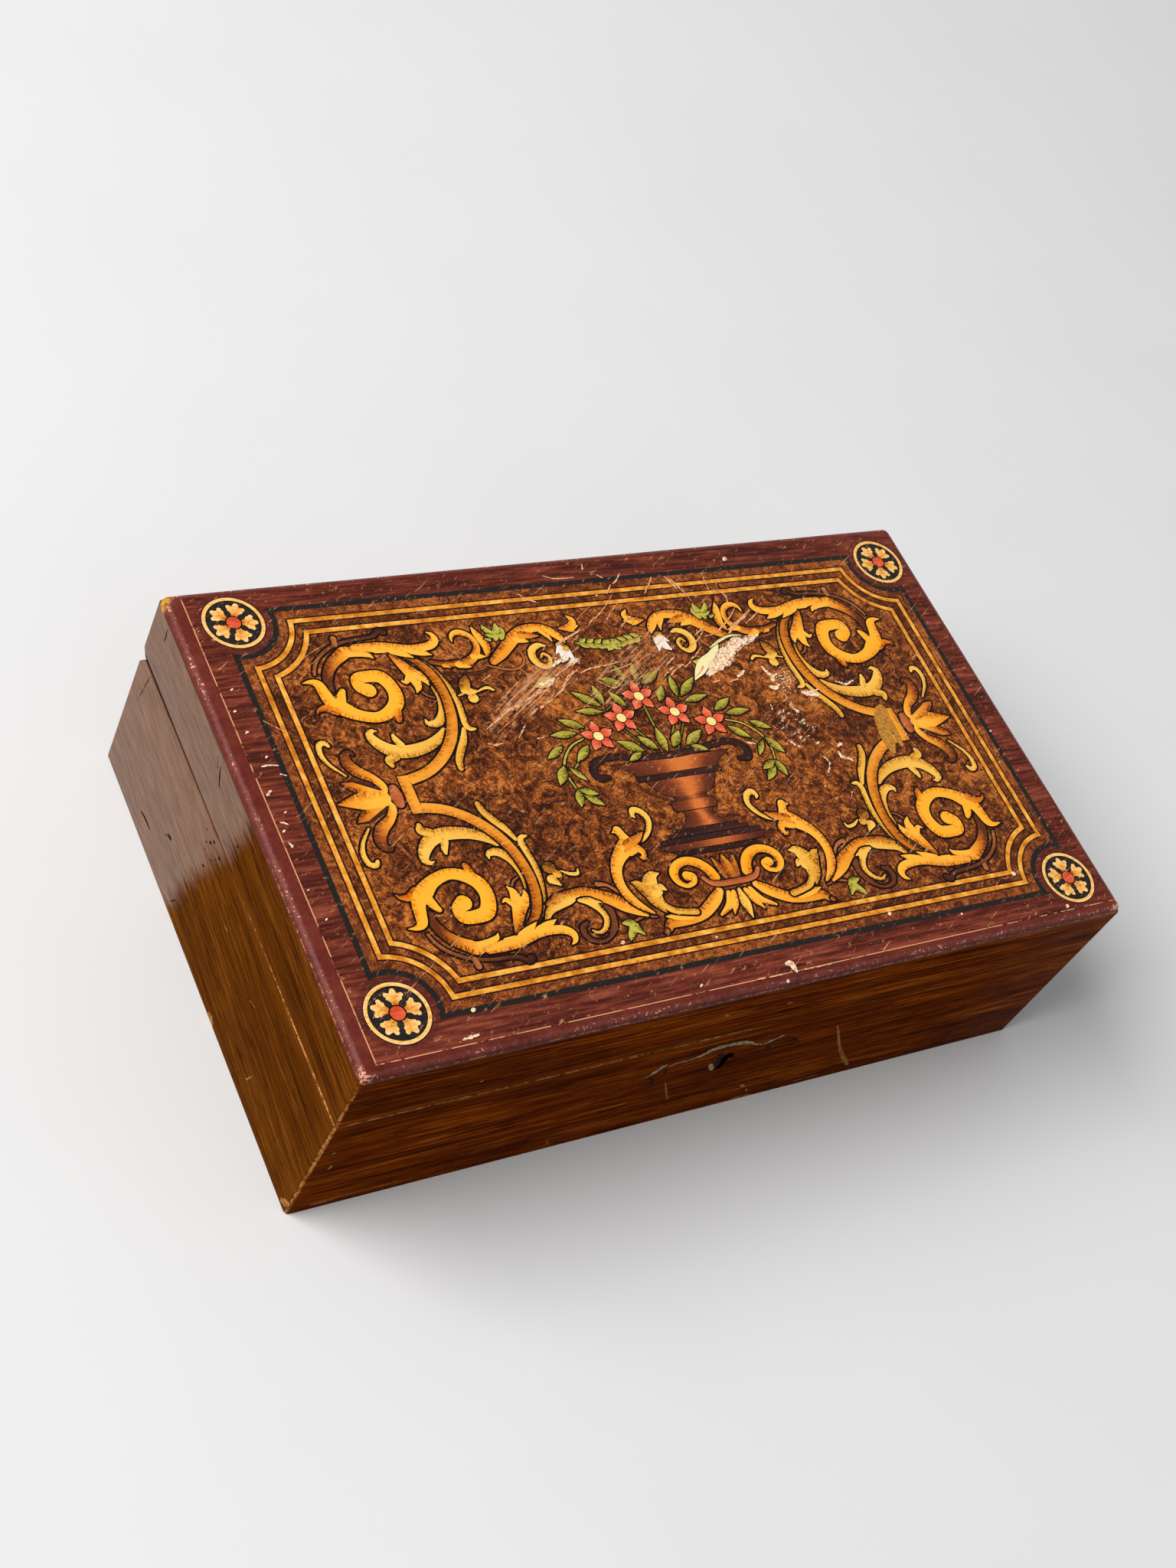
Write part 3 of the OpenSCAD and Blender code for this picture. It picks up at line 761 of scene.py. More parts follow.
def print_wear(place):
    """How far the print is scuffed, and where it has flaked down to cream paper."""
    slant = turned(place, 33.0)
    lines = noise(slant, 0.55, (22.0, 1.0, 1.0), detail=3.0, rough=0.6, shift=80.0)
    hair = noise(turned(place, 27.0), 0.26, (60.0, 1.0, 1.0), detail=1.0, shift=81.0)
    speck = noise(place, 0.62, detail=2.0, rough=0.5, shift=82.0)
    crumb = noise(slant, 1.5, (2.2, 1.0, 1.0), detail=4.0, rough=0.7, shift=83.0)
    cloud = noise(place, 24.0, detail=3.0, shift=84.0)
    band = patch(place, (-31.0, 30.0), 31.0, 32.0, 9.0)
    crumbled = patch(place, (48.0, 7.0), 60.0, 24.0, 17.0)
    upper = patch(place, (6.0, 34.0), 33.0, 40.0, 14.0)
    slashed = (band * 1.1).most(upper * 0.7)
    scuff = (crumb + slashed * 0.22 + cloud * 0.05).fade(0.60, 0.74)
    scuff = scuff * (lines * 1.2).fade(0.45, 0.70)
    streak = (lines + slashed * 0.17 + cloud * 0.08).fade(0.71, 0.77)
    flake = patch(place, (38.5, 35.0), 33.0, 17.5, 4.6)
    flake_two = patch(place, (31.0, 29.5), 38.0, 9.0, 2.4)
    flecks = patch(place, (54.0, 22.5), 60.0, 12.0, 7.5)
    bell = patch(place, (-13.8, 38.0), 30.0, 4.6, 2.6)
    torn = (flake * 0.52 + flake_two * 0.40 + crumb).fade(0.80, 0.86)
    torn = torn.most((flecks * 0.20 + speck * 0.9).fade(0.67, 0.72) * 0.85)
    torn = torn.most((bell * 0.5 + crumb).fade(0.78, 0.86))
    torn = torn.most((speck + cloud * 0.10).fade(0.785, 0.815) * 0.8)
    grit = crumb * 0.9 + speck * 0.25 + crumbled * 0.19
    torn = torn.most(grit.fade(0.80, 0.86) * 0.8)
    hairs = (hair + cloud * 0.10 + slashed * 0.08).fade(0.83, 0.87)
    return scuff.most(streak).most(hairs * 0.8), torn


def aged(place, colour):
    """A printed colour with its scuffs and flakes, its roughness and its relief."""
    scuff, torn = print_wear(on_print(place))
    tan = noise(place, 3.0, detail=2.0, shift=90.0)
    tan = tan.ramp((0.35, 206, 132, 82), (0.65, 232, 176, 128))
    colour = blend(scuff * 0.68, colour, tan)
    colour = blend(torn, colour, rgb(236, 206, 170))
    waver = noise(place, 11.0, detail=3.0, shift=91.0)
    rough = 0.34 + 0.14 * waver + 0.25 * scuff + 0.35 * torn
    height = waver * 0.5 - scuff * 0.12 - torn * 0.30
    return colour, rough, height


def line_at(outline, half):
    """1 on a line this far either side of an outline's 0, with a soft printed edge."""
    return 1.0 - abs(outline).fade(half - 0.10, half + 0.10)


def stepped_outline(x, y, half_x, half_y, scoop):
    """Distance to a rectangle whose corners are scooped round the rosettes; 0 is its line."""
    straight = (x - half_x).most(y - half_y)
    across = x - rosette_x
    up = y - rosette_y
    round_part = scoop - (across * across + up * up).root()
    return straight.most(round_part)


sheet_finish, sheet_shader, sheet_place = new_finish(
    "printed_sheet", Specular_IOR_Level=0.05
)
sheet_x, sheet_y, _ = sides(on_print(sheet_place))
fold_x = abs(sheet_x - border_x)
fold_y = abs(sheet_y - border_y)
band_line = stepped_outline(fold_x, fold_y, 115.5, 65.5, 11.8)
outer_line = stepped_outline(fold_x, fold_y, 110.85, 60.95, 16.2)
inner_line = stepped_outline(fold_x, fold_y, 106.4, 56.8, 20.3)

rose_long = noise(sheet_place, 0.95, (12.0, 1.0, 1.0), detail=5.0, rough=0.62, shift=100.0)
rose_pore = noise(sheet_place, 0.40, (14.0, 1.0, 1.0), detail=2.0, shift=101.0)
rose_wave = noise(sheet_place, 6.0, (9.0, 1.0, 1.0), detail=2.0, warp=0.8, shift=102.0)
rose = (rose_long * 0.7 + rose_wave * 0.3).ramp(
    (0.40, 62, 26, 19),
    (0.47, 86, 35, 25),
    (0.55, 112, 49, 35),
    (0.66, 144, 74, 52),
)
rose = blend(rose_pore.fade(0.58, 0.72) * 0.45, rose, rgb(36, 16, 14))

burr_flow = noise(sheet_place, 9.0, detail=1.5, warp=1.6, shift=109.0)
burr_worm = (burr_flow * 85.0).sine()
burr_swirl = noise(sheet_place, 6.5, detail=3.0, rough=0.55, warp=2.2, shift=110.0)
burr_curl = noise(sheet_place, 1.7, detail=3.0, rough=0.6, warp=1.6, shift=111.0)
burr_cloud = noise(sheet_place, 22.0, detail=3.0, warp=0.6, shift=112.0)
burr_value = burr_swirl * 0.46 + burr_curl * 0.34 + burr_cloud * 0.26 + burr_worm * 0.040
burr = burr_value.ramp(
    (0.43, 48, 21, 11),
    (0.51, 94, 45, 21),
    (0.57, 134, 70, 28),
    (0.66, 196, 116, 48),
)
frame_burr = burr_value.ramp((0.42, 70, 31, 17), (0.52, 108, 53, 26), (0.63, 168, 92, 38))
in_field = 1.0 - band_line.fade(-0.1, 0.1)
sheet_colour = blend(in_field, rose, burr)
between = inner_line.fade(-0.1, 0.1) * in_field
sheet_colour = blend(outer_line.fade(-0.1, 0.1) * in_field, sheet_colour, frame_burr)
between = between * (1.0 - outer_line.fade(-0.1, 0.1))
sheet_colour = blend(between * 0.40, sheet_colour, rgb(70, 28, 16))
ring_x = fold_x - rosette_x
ring_y = fold_y - rosette_y
by_ring = 1.0 - (ring_x * ring_x + ring_y * ring_y).root().fade(10.4, 10.8)
plain_red = (burr_curl * 0.6 + rose_long * 0.4).ramp(
    (0.40, 74, 30, 24), (0.60, 104, 45, 34)
)
sheet_colour = blend(by_ring * 0.85, sheet_colour, plain_red)
sheet_colour = blend(line_at(band_line, 0.85), sheet_colour, rgb(34, 30, 28))

yellow_grain = noise(sheet_place, 0.5, (7.0, 7.0, 1.0), detail=3.0, rough=0.6, shift=120.0)
yellow = yellow_grain.ramp((0.34, 176, 96, 22), (0.50, 222, 142, 42),
                           (0.68, 244, 184, 84))
for line, half in ((outer_line, 0.70), (inner_line, 0.72)):
    sheet_colour = blend(line_at(line, half + 0.46), sheet_colour, rgb(22, 12, 10))
    sheet_colour = blend(line_at(line, half), sheet_colour, yellow)
sheet_colour, sheet_rough, sheet_height = aged(sheet_place, sheet_colour)
sheet_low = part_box("printed_sheet")[0]
edge_x, edge_y, _ = sides(sheet_place)
cut_left = round(sheet_low.x * 1000, 2) + 0.25
cut_front = round(sheet_low.y * 1000, 2) + 0.25
cut_edge = (cut_left - edge_x).most(cut_front - edge_y)
cut_edge = cut_edge.fade(-0.06, 0.06) * (yellow_grain + rose_wave * 0.4).fade(0.58, 0.68)
sheet_colour = blend(cut_edge * 0.9, sheet_colour, rgb(222, 162, 114))
plug(
    sheet_shader,
    Base_Color=sheet_colour,
    Roughness=sheet_rough,
    Normal=relief(sheet_height, print_relief),
)
paint("printed_sheet", sheet_finish)

# The printed ornament.
# Scrolls, leaves, an urn and flowers, printed on the sheet in golds, greens and reds, each shape
# with a thin dark outline. They are drawn as flat strokes with a pen whose width changes, laid
# over one another a few hundredths of a millimetre apart.

middle_x = 1.6
middle_y = 1.25
print_top = round(cad_high.z * 1000, 2) + 0.02
wall_reach = {"front": half_depth + 0.01, "left": half_width + 0.01}
wall_turn = {"front": 0.0, "left": -90.0}


def stroke(*points, kind="round", tone=1.0):
    """One pen stroke through points of (x, y, width), smooth and with round ends.

    A square stroke is cut off straight, and a straight one isn't smoothed either. The tone is
    one number, or one for the start and one for the tip.
    """
    return list(points), kind, tone if isinstance(tone, tuple) else (tone, tone)


def flecks(*spots):
    """Strokes so short that they are spots, each given as (x, y, width, tone)."""
    return [stroke((x, y, width), (x + 0.3, y + 0.2, width), tone=tone)
            for x, y, width, tone in spots]


def disc(x, y, width, tone=1.0):
    """A round spot."""
    return stroke((x - 0.05, y, width), (x + 0.05, y, width), tone=tone)


def smooth_path(points, steps=7):
    """A smooth line through given points of (x, y, width)."""
    if len(points) == 2:
        points = [points[0], tuple((a + b) / 2 for a, b in zip(*points)), points[1]]
    first = tuple(2 * a - b for a, b in zip(points[0], points[1]))
    last = tuple(2 * a - b for a, b in zip(points[-1], points[-2]))
    posts = [first, *points, last]
    path = []
    for before, start, end, after in zip(posts, posts[1:], posts[2:], posts[3:]):
        for step in range(steps):
            t = step / steps
            spot = []
            for a, b, c, d in zip(before, start, end, after):
                curve = 2 * b + (c - a) * t + (2 * a - 5 * b + 4 * c - d) * t * t
                curve += (3 * b - a - 3 * c + d) * t ** 3
                spot.append(curve / 2)
            spot[2] = max(spot[2], 0.06)
            path.append(tuple(spot))
    path.append(points[-1])
    return path


def round_ends(path, grow):
    """The path with a half-round cap past each end, and every width larger by twice grow."""
    path = [(x, y, width + 2 * grow) for x, y, width in path]
    for turn in (0, 1):
        path.reverse()
        (x0, y0, _), (x1, y1, w1) = path[-2], path[-1]
        length = max(math.hypot(x1 - x0, y1 - y0), 0.001)
        ahead = ((x1 - x0) / length, (y1 - y0) / length)
        for share in (0.30, 0.58, 0.80, 0.93, 0.99):
            reach = w1 / 2 * share
            path.append((
                x1 + ahead[0] * reach,
                y1 + ahead[1] * reach,
                max(w1 * math.sqrt(1 - share * share), 0.02),
            ))
    return path


def mirrored(strokes, mirror):
    """The strokes and their mirror images: mirror is '', 'x' or 'xy'."""
    every = [(*one, False) for one in strokes]
    if "x" in mirror:
        every += [
            ([(2 * middle_x - x, y, w) for x, y, w in points], kind, tone, not flip)
            for points, kind, tone, flip in every
        ]
    if "y" in mirror:
        every += [
            ([(x, 2 * middle_y - y, w) for x, y, w in points], kind, tone, not flip)
            for points, kind, tone, flip in every
        ]
    return every


def grown_end(end, inner, grow):
    """The end of a path, pushed outwards by grow."""
    x, y, width = end
    length = math.hypot(inner[0] - x, inner[1] - y)
    return (x - (inner[0] - x) / length * grow, y - (inner[1] - y) / length * grow, width)


def on_lid(x, y):
    """Where a place of the drawing comes to lie on the lid."""
    skew = math.radians(print_skew)
    return (
        print_shift[0] + print_scale * (x * math.cos(skew) - y * math.sin(skew)),
        print_shift[1] + print_scale * (x * math.sin(skew) + y * math.cos(skew)),
    )


def lay_strokes(name, finish, strokes, mirror, height, grow=0.0, wall=None, body="lid"):
    """One flat mesh of all the strokes, height millimetres over the sheet or over a wall."""
    curve = bpy.data.curves.new(name, "CURVE")
    curve.dimensions = "3D"
    curve.twist_mode = "Z_UP"
    curve.extrude = 0.5
    runs = []
    for number, (points, kind, tone, flip) in enumerate(mirrored(strokes, mirror)):
        path = smooth_path(points) if kind != "straight" else list(points)
        if kind == "round":
            path = round_ends(path, grow)
        else:
            path = [(x, y, width + 2 * grow) for x, y, width in path]
            if grow:
                path[0] = grown_end(path[0], path[1], grow)
                path[-1] = grown_end(path[-1], path[-2], grow)
        spline = curve.splines.new("POLY")
        spline.points.add(len(path) - 1)
        gone = 0.0
        run = []
        for place, (x, y, width) in enumerate(path):
            if place:
                gone += math.hypot(x - path[place - 1][0], y - path[place - 1][1])
            run.append(gone)
            # A hair's breadth between the strokes, and along each, keeps them apart.
            z = wall_reach.get(wall, print_top) + height + number % 5 * 0.0012 + place * 0.00002
            lid_x, lid_y = (x, y) if wall else on_lid(x, y)
            spline.points[place].co = (lid_x / 1000, lid_y / 1000, z / 1000, 1.0)
            spline.points[place].radius = width * print_scale / 1000
            spline.points[place].tilt = math.pi / 2
        runs.append((run, tone, flip))
    piece = bpy.data.objects.new(name, curve)
    bpy.context.scene.collection.objects.link(piece)
    pick(piece)
    bpy.ops.object.convert(target="MESH")
    piece = bpy.context.object
    piece.name = name
    mesh = piece.data
    along = mesh.uv_layers[0]
    along.name = "stroke"
    tones = mesh.uv_layers.new(name="tone")
    faces = iter(mesh.polygons)
    for run, tone, flip in runs:
        for place in range(len(run) - 1):
            for loop in next(faces).loop_indices:
                spot = along.data[loop].uv
                share = spot.x
                length = run[round(share * (len(run) - 1))]
                across = 1.0 - spot.y if flip else spot.y
                along.data[loop].uv = (length, across)
                near = length / run[-1]
                tones.data[loop].uv = (tone[0] + (tone[1] - tone[0]) * near, near)
    mesh.materials.clear()
    mesh.materials.append(finish)
    if wall:
        upright = Matrix.Rotation(math.radians(90.0), 4, "X")
        mesh.transform(Matrix.Rotation(math.radians(wall_turn[wall]), 4, "Z") @ upright)
    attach(piece, body)


def on_stroke(place):
    """A place on its stroke: along and across it together, across it alone, and its tone."""
    run = place.make("ShaderNodeUVMap", {}, uv_map="stroke")
    tone = place.make("ShaderNodeUVMap", {}, uv_map="tone")
    return run, sides(run)[1], sides(tone)[0]


def plug_print(shader, place, colour):
    """Joins a printed colour to its shader, with the print's scuffs and flakes."""
    colour, rough, height = aged(place, colour)
    plug(shader, Base_Color=colour, Roughness=rough, Normal=relief(height, print_relief))


def print_finish(name, ramp_stops, hatch=0.45, side=0.35, grain=0.30):
    """A printed ink that is hatched across the stroke and darker along one side of it."""
    finish, shader, place = new_finish(name, Specular_IOR_Level=0.05)
    run, across, depth = on_stroke(place)
    cuts = noise(run, 1.0, (0.42, 0.55, 1.0), detail=2.0, rough=0.6, shift=130.0)
    fleck = noise(place, 0.42, (5.0, 1.0, 1.0), detail=3.0, rough=0.6, shift=131.0)
    cloud = noise(place, 3.0, detail=2.0, shift=132.0)
    shade_side = 1.0 - across.fade(0.05, 0.62)
    value = depth - shade_side * (side * 0.35 + hatch * cuts.fade(0.42, 0.58))
    value = value + (fleck - 0.5) * grain * 1.6 + (cloud - 0.5) * 0.25
    plug_print(shader, place, value.ramp(*ramp_stops))
    return finish


ink_finish, ink_shader, ink_place = new_finish("outline_ink", Specular_IOR_Level=0.05)
ink_grain = noise(ink_place, 1.2, detail=3.0, shift=140.0)
plug_print(ink_shader, ink_place, ink_grain.ramp((0.35, 14, 8, 7), (0.70, 28, 15, 11)))


def print_shapes(name, finish, height, strokes, mirror="xy", outline=0.60):
    """Prints strokes and, just under them, their dark outline."""
    lay_strokes(name + "_outline", ink_finish, strokes, mirror, height, outline)
    lay_strokes(name, finish, strokes, mirror, height + 0.018)


# The shadow tendrils.
# Thin stems and dull curls in brown ink. They are printed first, so that the scrolls lie over
# them.

umber_finish = print_finish(
    "umber_ink",
    ((0.0, 62, 30, 20), (0.55, 118, 62, 34), (1.0, 176, 100, 52)),
    hatch=0.25,
)
print_shapes("corner_tendrils", umber_finish, 0.0, [
    stroke((-93.8, 43.5, 0.8), (-92.5, 46.6, 1.0), (-89.9, 49.6, 1.0), (-85.5, 52.3, 1.0),
           (-79.8, 53.8, 1.0), (-72.3, 54.5, 1.2), (-69.7, 56.2, 1.6), (-68.5, 55.5, 2.0),
           tone=(0.9, 0.0)),
    stroke((-84.2, 52.8, 1.5), (-83.9, 55.0, 1.8), tone=(0.9, 1.0)),
    stroke((-64.9, 33.9, 0.6), (-63.8, 32.4, 0.6), (-62.0, 31.4, 0.4), tone=0.8),
])
print_shapes("upper_tendrils", umber_finish, 0.0, [
    stroke((-42.0, 40.5, 0.5), (-37.3, 38.5, 0.7), (-33.3, 37.8, 0.7), (-30.1, 39.2, 0.8),
           (-28.9, 42.2, 0.7), (-30.1, 45.3, 0.5), tone=1.0),
    stroke((-32.1, 38.2, 0.6), (-30.5, 35.5, 0.6), (-31.2, 32.5, 0.7), (-30.1, 31.0, 0.7),
           tone=1.0),
    stroke((-55.7, 39.4, 0.4), (-50.0, 38.2, 0.7), (-44.9, 38.1, 0.7), (-40.5, 39.3, 0.3),
           tone=0.2),
    stroke((-17.4, 44.1, 0.9), (-14.2, 46.1, 0.8), (-11.0, 47.3, 0.7), (-8.2, 48.1, 0.4),
           tone=(0.9, 1.0)),
], mirror="x", outline=0.25)
print_shapes("lower_tendrils", umber_finish, 0.0, [
    stroke((-48.5, -46.1, 1.0), (-50.2, -47.2, 1.6), (-50.4, -49.6, 1.6), (-48.8, -51.6, 1.2),
           (-46.0, -52.2, 0.9), (-43.4, -51.2, 1.0), (-41.5, -48.5, 2.6), (-40.6, -44.5, 3.0),
           (-40.5, -42.0, 2.0), tone=(0.3, 0.5)),
    stroke((-40.2, -35.2, 1.4), (-37.5, -36.0, 0.9), (-34.8, -39.0, 0.9), (-32.3, -43.0, 0.9),
           (-29.0, -46.8, 0.6), tone=1.0),
    stroke((-34.0, -48.0, 0.7), (-31.0, -47.3, 0.8), (-27.5, -48.0, 0.6), tone=0.8),
], mirror="x")

# The stems of the corner scrolls.
# Four thick stems in honey-coloured ink with the cross grain of veneer, cut off square at the
# straps that tie each pair of them.

honey_finish = print_finish(
    "honey_ink",
    ((0.0, 88, 40, 14), (0.35, 154, 74, 19), (0.70, 207, 121, 30),
     (1.0, 232, 153, 48)),
    hatch=0.40, side=0.30, grain=0.60,
)
print_shapes("corner_stems", honey_finish, 0.035, [
    stroke((-80.2, 5.8, 3.1), (-75.0, 7.1, 3.1), (-70.6, 9.3, 3.1), (-66.2, 12.9, 3.2),
           (-62.5, 17.6, 3.2), (-60.0, 23.0, 3.1), (-58.8, 28.5, 2.9), (-58.6, 33.5, 2.8),
           (-59.5, 38.5, 2.8), (-61.5, 42.8, 2.4), (-64.2, 45.6, 1.6), (-67.5, 47.4, 0.8),
           (-70.5, 48.4, 0.3), kind="square", tone=(1.1, 0.40)),
])
print_shapes("straps", honey_finish, 0.036, [
    stroke((-81.7, -4.9, 3.2), (-81.7, 1.2, 3.2), (-81.7, 7.4, 3.2), kind="straight", tone=1.0),
], mirror="x", outline=0.42)

# The leaves of the corner scrolls.
# Acanthus in straw and gold ink that springs from the stems, each lobe a stroke that is hatched
# dark along one side.

gold_finish = print_finish(
    "gold_ink",
    ((0.0, 92, 44, 18), (0.30, 168, 84, 24), (0.60, 226, 138, 34),
     (1.0, 250, 176, 58)),
    hatch=0.60,
)
straw_finish = print_finish(
    "straw_ink",
    ((0.0, 87, 47, 16), (0.32, 159, 96, 27), (0.65, 217, 149, 46),
     (1.0, 239, 184, 77)),
    hatch=0.60,
)
print_shapes("corner_leaves", straw_finish, 0.0, [
    stroke((-62.5, 46.1, 0.4), (-59.2, 42.4, 1.0), (-57.2, 38.2, 1.2), (-56.0, 33.4, 1.5),
           (-55.7, 28.6, 1.7), (-56.2, 24.2, 1.8), (-56.5, 21.1, 1.8), (-55.7, 19.6, 1.5),
           (-54.3, 19.4, 0.8), tone=(0.4, 1.1)),
    stroke((-57.6, 19.8, 1.2), (-59.2, 16.3, 2.0), (-61.5, 12.9, 2.2), (-63.3, 9.8, 2.0),
           (-63.8, 7.2, 1.6), tone=(1.0, 0.7)),
    stroke((-61.4, 35.6, 0.5), (-60.8, 31.2, 1.1), (-61.6, 26.8, 1.8), (-63.3, 23.8, 2.6),
           (-65.3, 22.7, 2.4), (-67.3, 23.1, 1.6), (-67.7, 24.4, 0.5), tone=(0.5, 1.1)),
    stroke((-63.6, 20.3, 1.6), (-65.7, 18.3, 2.6), (-69.7, 16.1, 3.4), (-74.5, 15.0, 4.0),
           (-78.5, 15.0, 4.2), (-82.0, 16.3, 4.0), (-84.6, 18.9, 3.4), (-85.7, 21.6, 2.4),
           (-84.6, 22.9, 1.4), (-83.3, 22.7, 0.3), tone=(0.8, 1.1)),
    stroke((-78.0, 17.2, 2.2), (-78.9, 19.4, 1.8), (-79.1, 20.7, 1.0), tone=1.1),
    stroke((-81.1, 13.7, 2.6), (-83.3, 12.8, 2.4), (-83.1, 11.1, 1.4), tone=(0.9, 0.8)),
    stroke((-97.3, 9.8, 0.6), (-100.4, 13.7, 1.0), (-101.7, 17.2, 1.4), (-101.2, 20.3, 1.6),
           (-99.5, 21.0, 1.6), (-98.6, 19.9, 1.0), tone=(0.8, 1.2)),
])
print_shapes("acanthus", gold_finish, 0.07, [
    stroke((-90.9, 37.8, 1.8), (-90.8, 41.0, 2.6), (-89.2, 44.4, 3.0), (-86.8, 47.0, 3.4),
           (-84.0, 48.9, 3.8), (-82.0, 49.9, 3.9), (-78.5, 49.1, 2.4), (-75.8, 48.1, 1.6),
           (-74.7, 46.8, 0.2), tone=(-0.35, 1.45)),
    stroke((-79.3, 51.4, 1.6), (-75.0, 50.7, 3.2), (-70.6, 50.3, 3.4), (-66.6, 49.4, 3.2),
           (-62.7, 48.8, 2.6), (-58.7, 48.8, 2.6), (-55.7, 49.4, 2.6), (-53.9, 51.0, 2.2),
           (-54.1, 52.9, 1.4), (-55.4, 53.9, 0.4), tone=(0.8, 1.2)),
    stroke((-72.8, 49.8, 3.0), (-70.3, 48.4, 0.2), tone=(1.1, 1.3)),
    stroke((-68.0, 49.0, 3.2), (-65.5, 47.5, 2.4), (-62.7, 45.6, 0.2), tone=(1.1, 1.3)),
    stroke((-62.5, 48.2, 2.8), (-59.5, 47.0, 2.2), (-56.8, 45.9, 0.2), tone=(1.1, 1.2)),
    stroke((-69.3, 47.2, 1.2), (-67.9, 44.8, 2.6), (-66.4, 42.0, 3.6), (-65.1, 39.6, 4.6),
           tone=(0.3, 1.2)),
    stroke((-66.6, 39.4, 2.0), (-68.3, 37.6, 1.4), (-69.6, 38.1, 0.3), tone=1.2),
    stroke((-65.4, 38.5, 3.4), (-65.4, 35.6, 2.2), (-66.5, 33.6, 0.2), tone=(1.2, 1.3)),
    stroke((-63.8, 39.5, 3.0), (-62.4, 37.4, 1.8), (-62.0, 35.6, 0.2), tone=(1.0, 1.1)),
])

# The palmettes.
# A gold palmette with dusky slits between its leaves and two copper beads, outside each strap.
# They are printed a trifle higher than the scrolls, so they mirror about a line of their own.

copper_finish = print_finish(
    "copper_ink",
    ((0.0, 108, 48, 26), (0.5, 176, 90, 46), (1.0, 226, 138, 92)),
    hatch=0.30,
)
dusk_finish = print_finish(
    "dusk_ink",
    ((0.0, 34, 19, 19), (0.5, 56, 30, 26), (1.0, 92, 50, 38)),
    hatch=0.2, side=0.4,
)
scroll_middle_y = middle_y
middle_y = 1.3
print_shapes("palmettes", gold_finish, 0.0, [
    stroke((-89.0, 2.3, 1.6), (-88.3, 4.9, 2.2), (-90.3, 8.0, 2.6), (-93.6, 10.6, 3.4),
           (-95.4, 13.7, 3.2), (-95.1, 16.1, 2.4), (-93.6, 17.0, 1.4), (-92.7, 16.1, 0.5),
           tone=(1.2, -0.1)),
    stroke((-91.0, 3.2, 3.0), (-95.0, 5.4, 3.6), (-98.0, 6.8, 2.0), (-99.4, 7.6, 0.3),
           tone=(0.9, 0.3)),
    stroke((-90.0, 1.3, 5.0), (-95.0, 1.3, 5.6), (-99.0, 1.3, 3.4), (-102.8, 1.3, 0.3),
           tone=(1.25, 0.5)),
])
print_shapes("palmette_eyes", dusk_finish, 0.035, [
    stroke((-89.5, 4.2, 0.8), (-92.0, 5.8, 1.2), (-95.5, 7.6, 0.8), (-97.5, 8.6, 0.3), tone=0.6),
], outline=0.0)
print_shapes("palmette_beads", copper_finish, 0.0, [
    stroke((-85.7, -1.2, 2.6), (-85.7, 1.3, 3.5), (-85.7, 3.8, 2.6), tone=0.55),
], mirror="x")
middle_y = scroll_middle_y

# The volutes.
# One in each corner, in the brightest gold ink, curled in front of its stem and leaves.

bright_finish = print_finish(
    "bright_gold_ink",
    ((0.0, 134, 58, 14), (0.35, 200, 100, 18), (0.65, 232, 144, 26),
     (1.0, 246, 172, 46)),
    hatch=0.62, side=0.34, grain=0.34,
)
print_shapes("volutes", bright_finish, 0.105, [
    stroke((-80.4, 36.3, 4.6), (-82.5, 37.8, 3.6), (-82.0, 40.4, 3.8), (-78.7, 40.9, 3.9),
           (-75.0, 40.0, 4.3), (-73.1, 35.6, 4.1), (-73.9, 31.2, 4.3), (-77.4, 28.2, 3.7),
           (-81.5, 27.1, 3.4), (-86.4, 28.6, 3.8), (-89.9, 31.2, 4.9), (-92.5, 33.9, 4.0),
           (-93.3, 36.9, 3.4), (-94.0, 40.0, 2.9), (-95.8, 41.1, 1.6), (-98.3, 41.0, 0.2),
           tone=(1.2, 1.1)),
    stroke((-90.0, 32.5, 3.0), (-88.8, 35.5, 2.4), (-87.9, 37.0, 1.6), tone=1.1),
    stroke((-92.0, 30.5, 2.5), (-94.5, 32.0, 2.2), (-96.8, 31.6, 1.2), (-97.8, 30.6, 0.3),
           tone=(0.6, 0.3)),
    stroke((-74.8, 28.0, 2.2), (-75.2, 26.0, 2.0), (-75.4, 25.3, 1.6), tone=(0.8, 0.3)),
])

# The upper scrolls.
# A hook and a long S in gold on each side of the garland, with a small straw-coloured volute and
# a white bell.

print_shapes("upper_scrolls", gold_finish, 0.035, [
    stroke((-38.9, 41.3, 2.4), (-35.7, 43.5, 3.4), (-32.5, 46.1, 3.8), (-29.3, 48.7, 4.0),
           (-26.2, 50.5, 4.0), (-23.0, 51.5, 3.2), (-19.8, 51.5, 2.8), (-17.0, 50.3, 2.8),
           (-15.2, 48.3, 2.8), (-14.0, 46.5, 2.0), (-13.6, 45.2, 0.5), tone=(0.6, 1.0)),
    stroke((-28.0, 48.3, 3.0), (-26.3, 47.5, 1.8), (-25.0, 46.8, 0.2), tone=(1.0, 1.1)),
    stroke((-26.0, 49.6, 3.0), (-23.3, 49.0, 2.0), (-20.9, 48.6, 0.3), tone=(0.6, 0.5)),
    stroke((-19.2, 50.2, 2.0), (-17.9, 48.0, 1.4), (-17.4, 46.1, 0.3), tone=1.0),
    stroke((-13.0, 50.5, 0.8), (-10.6, 50.4, 2.4), (-8.6, 50.9, 2.8), (-7.6, 53.0, 2.0),
           (-8.8, 54.7, 0.4), tone=(0.5, 1.1)),
    stroke((-9.5, 50.0, 2.4), (-7.8, 50.6, 1.6), (-6.4, 50.8, 0.3), tone=1.0),
    stroke((-10.0, 49.9, 2.0), (-8.6, 48.9, 0.4), tone=0.9),
], mirror="x")
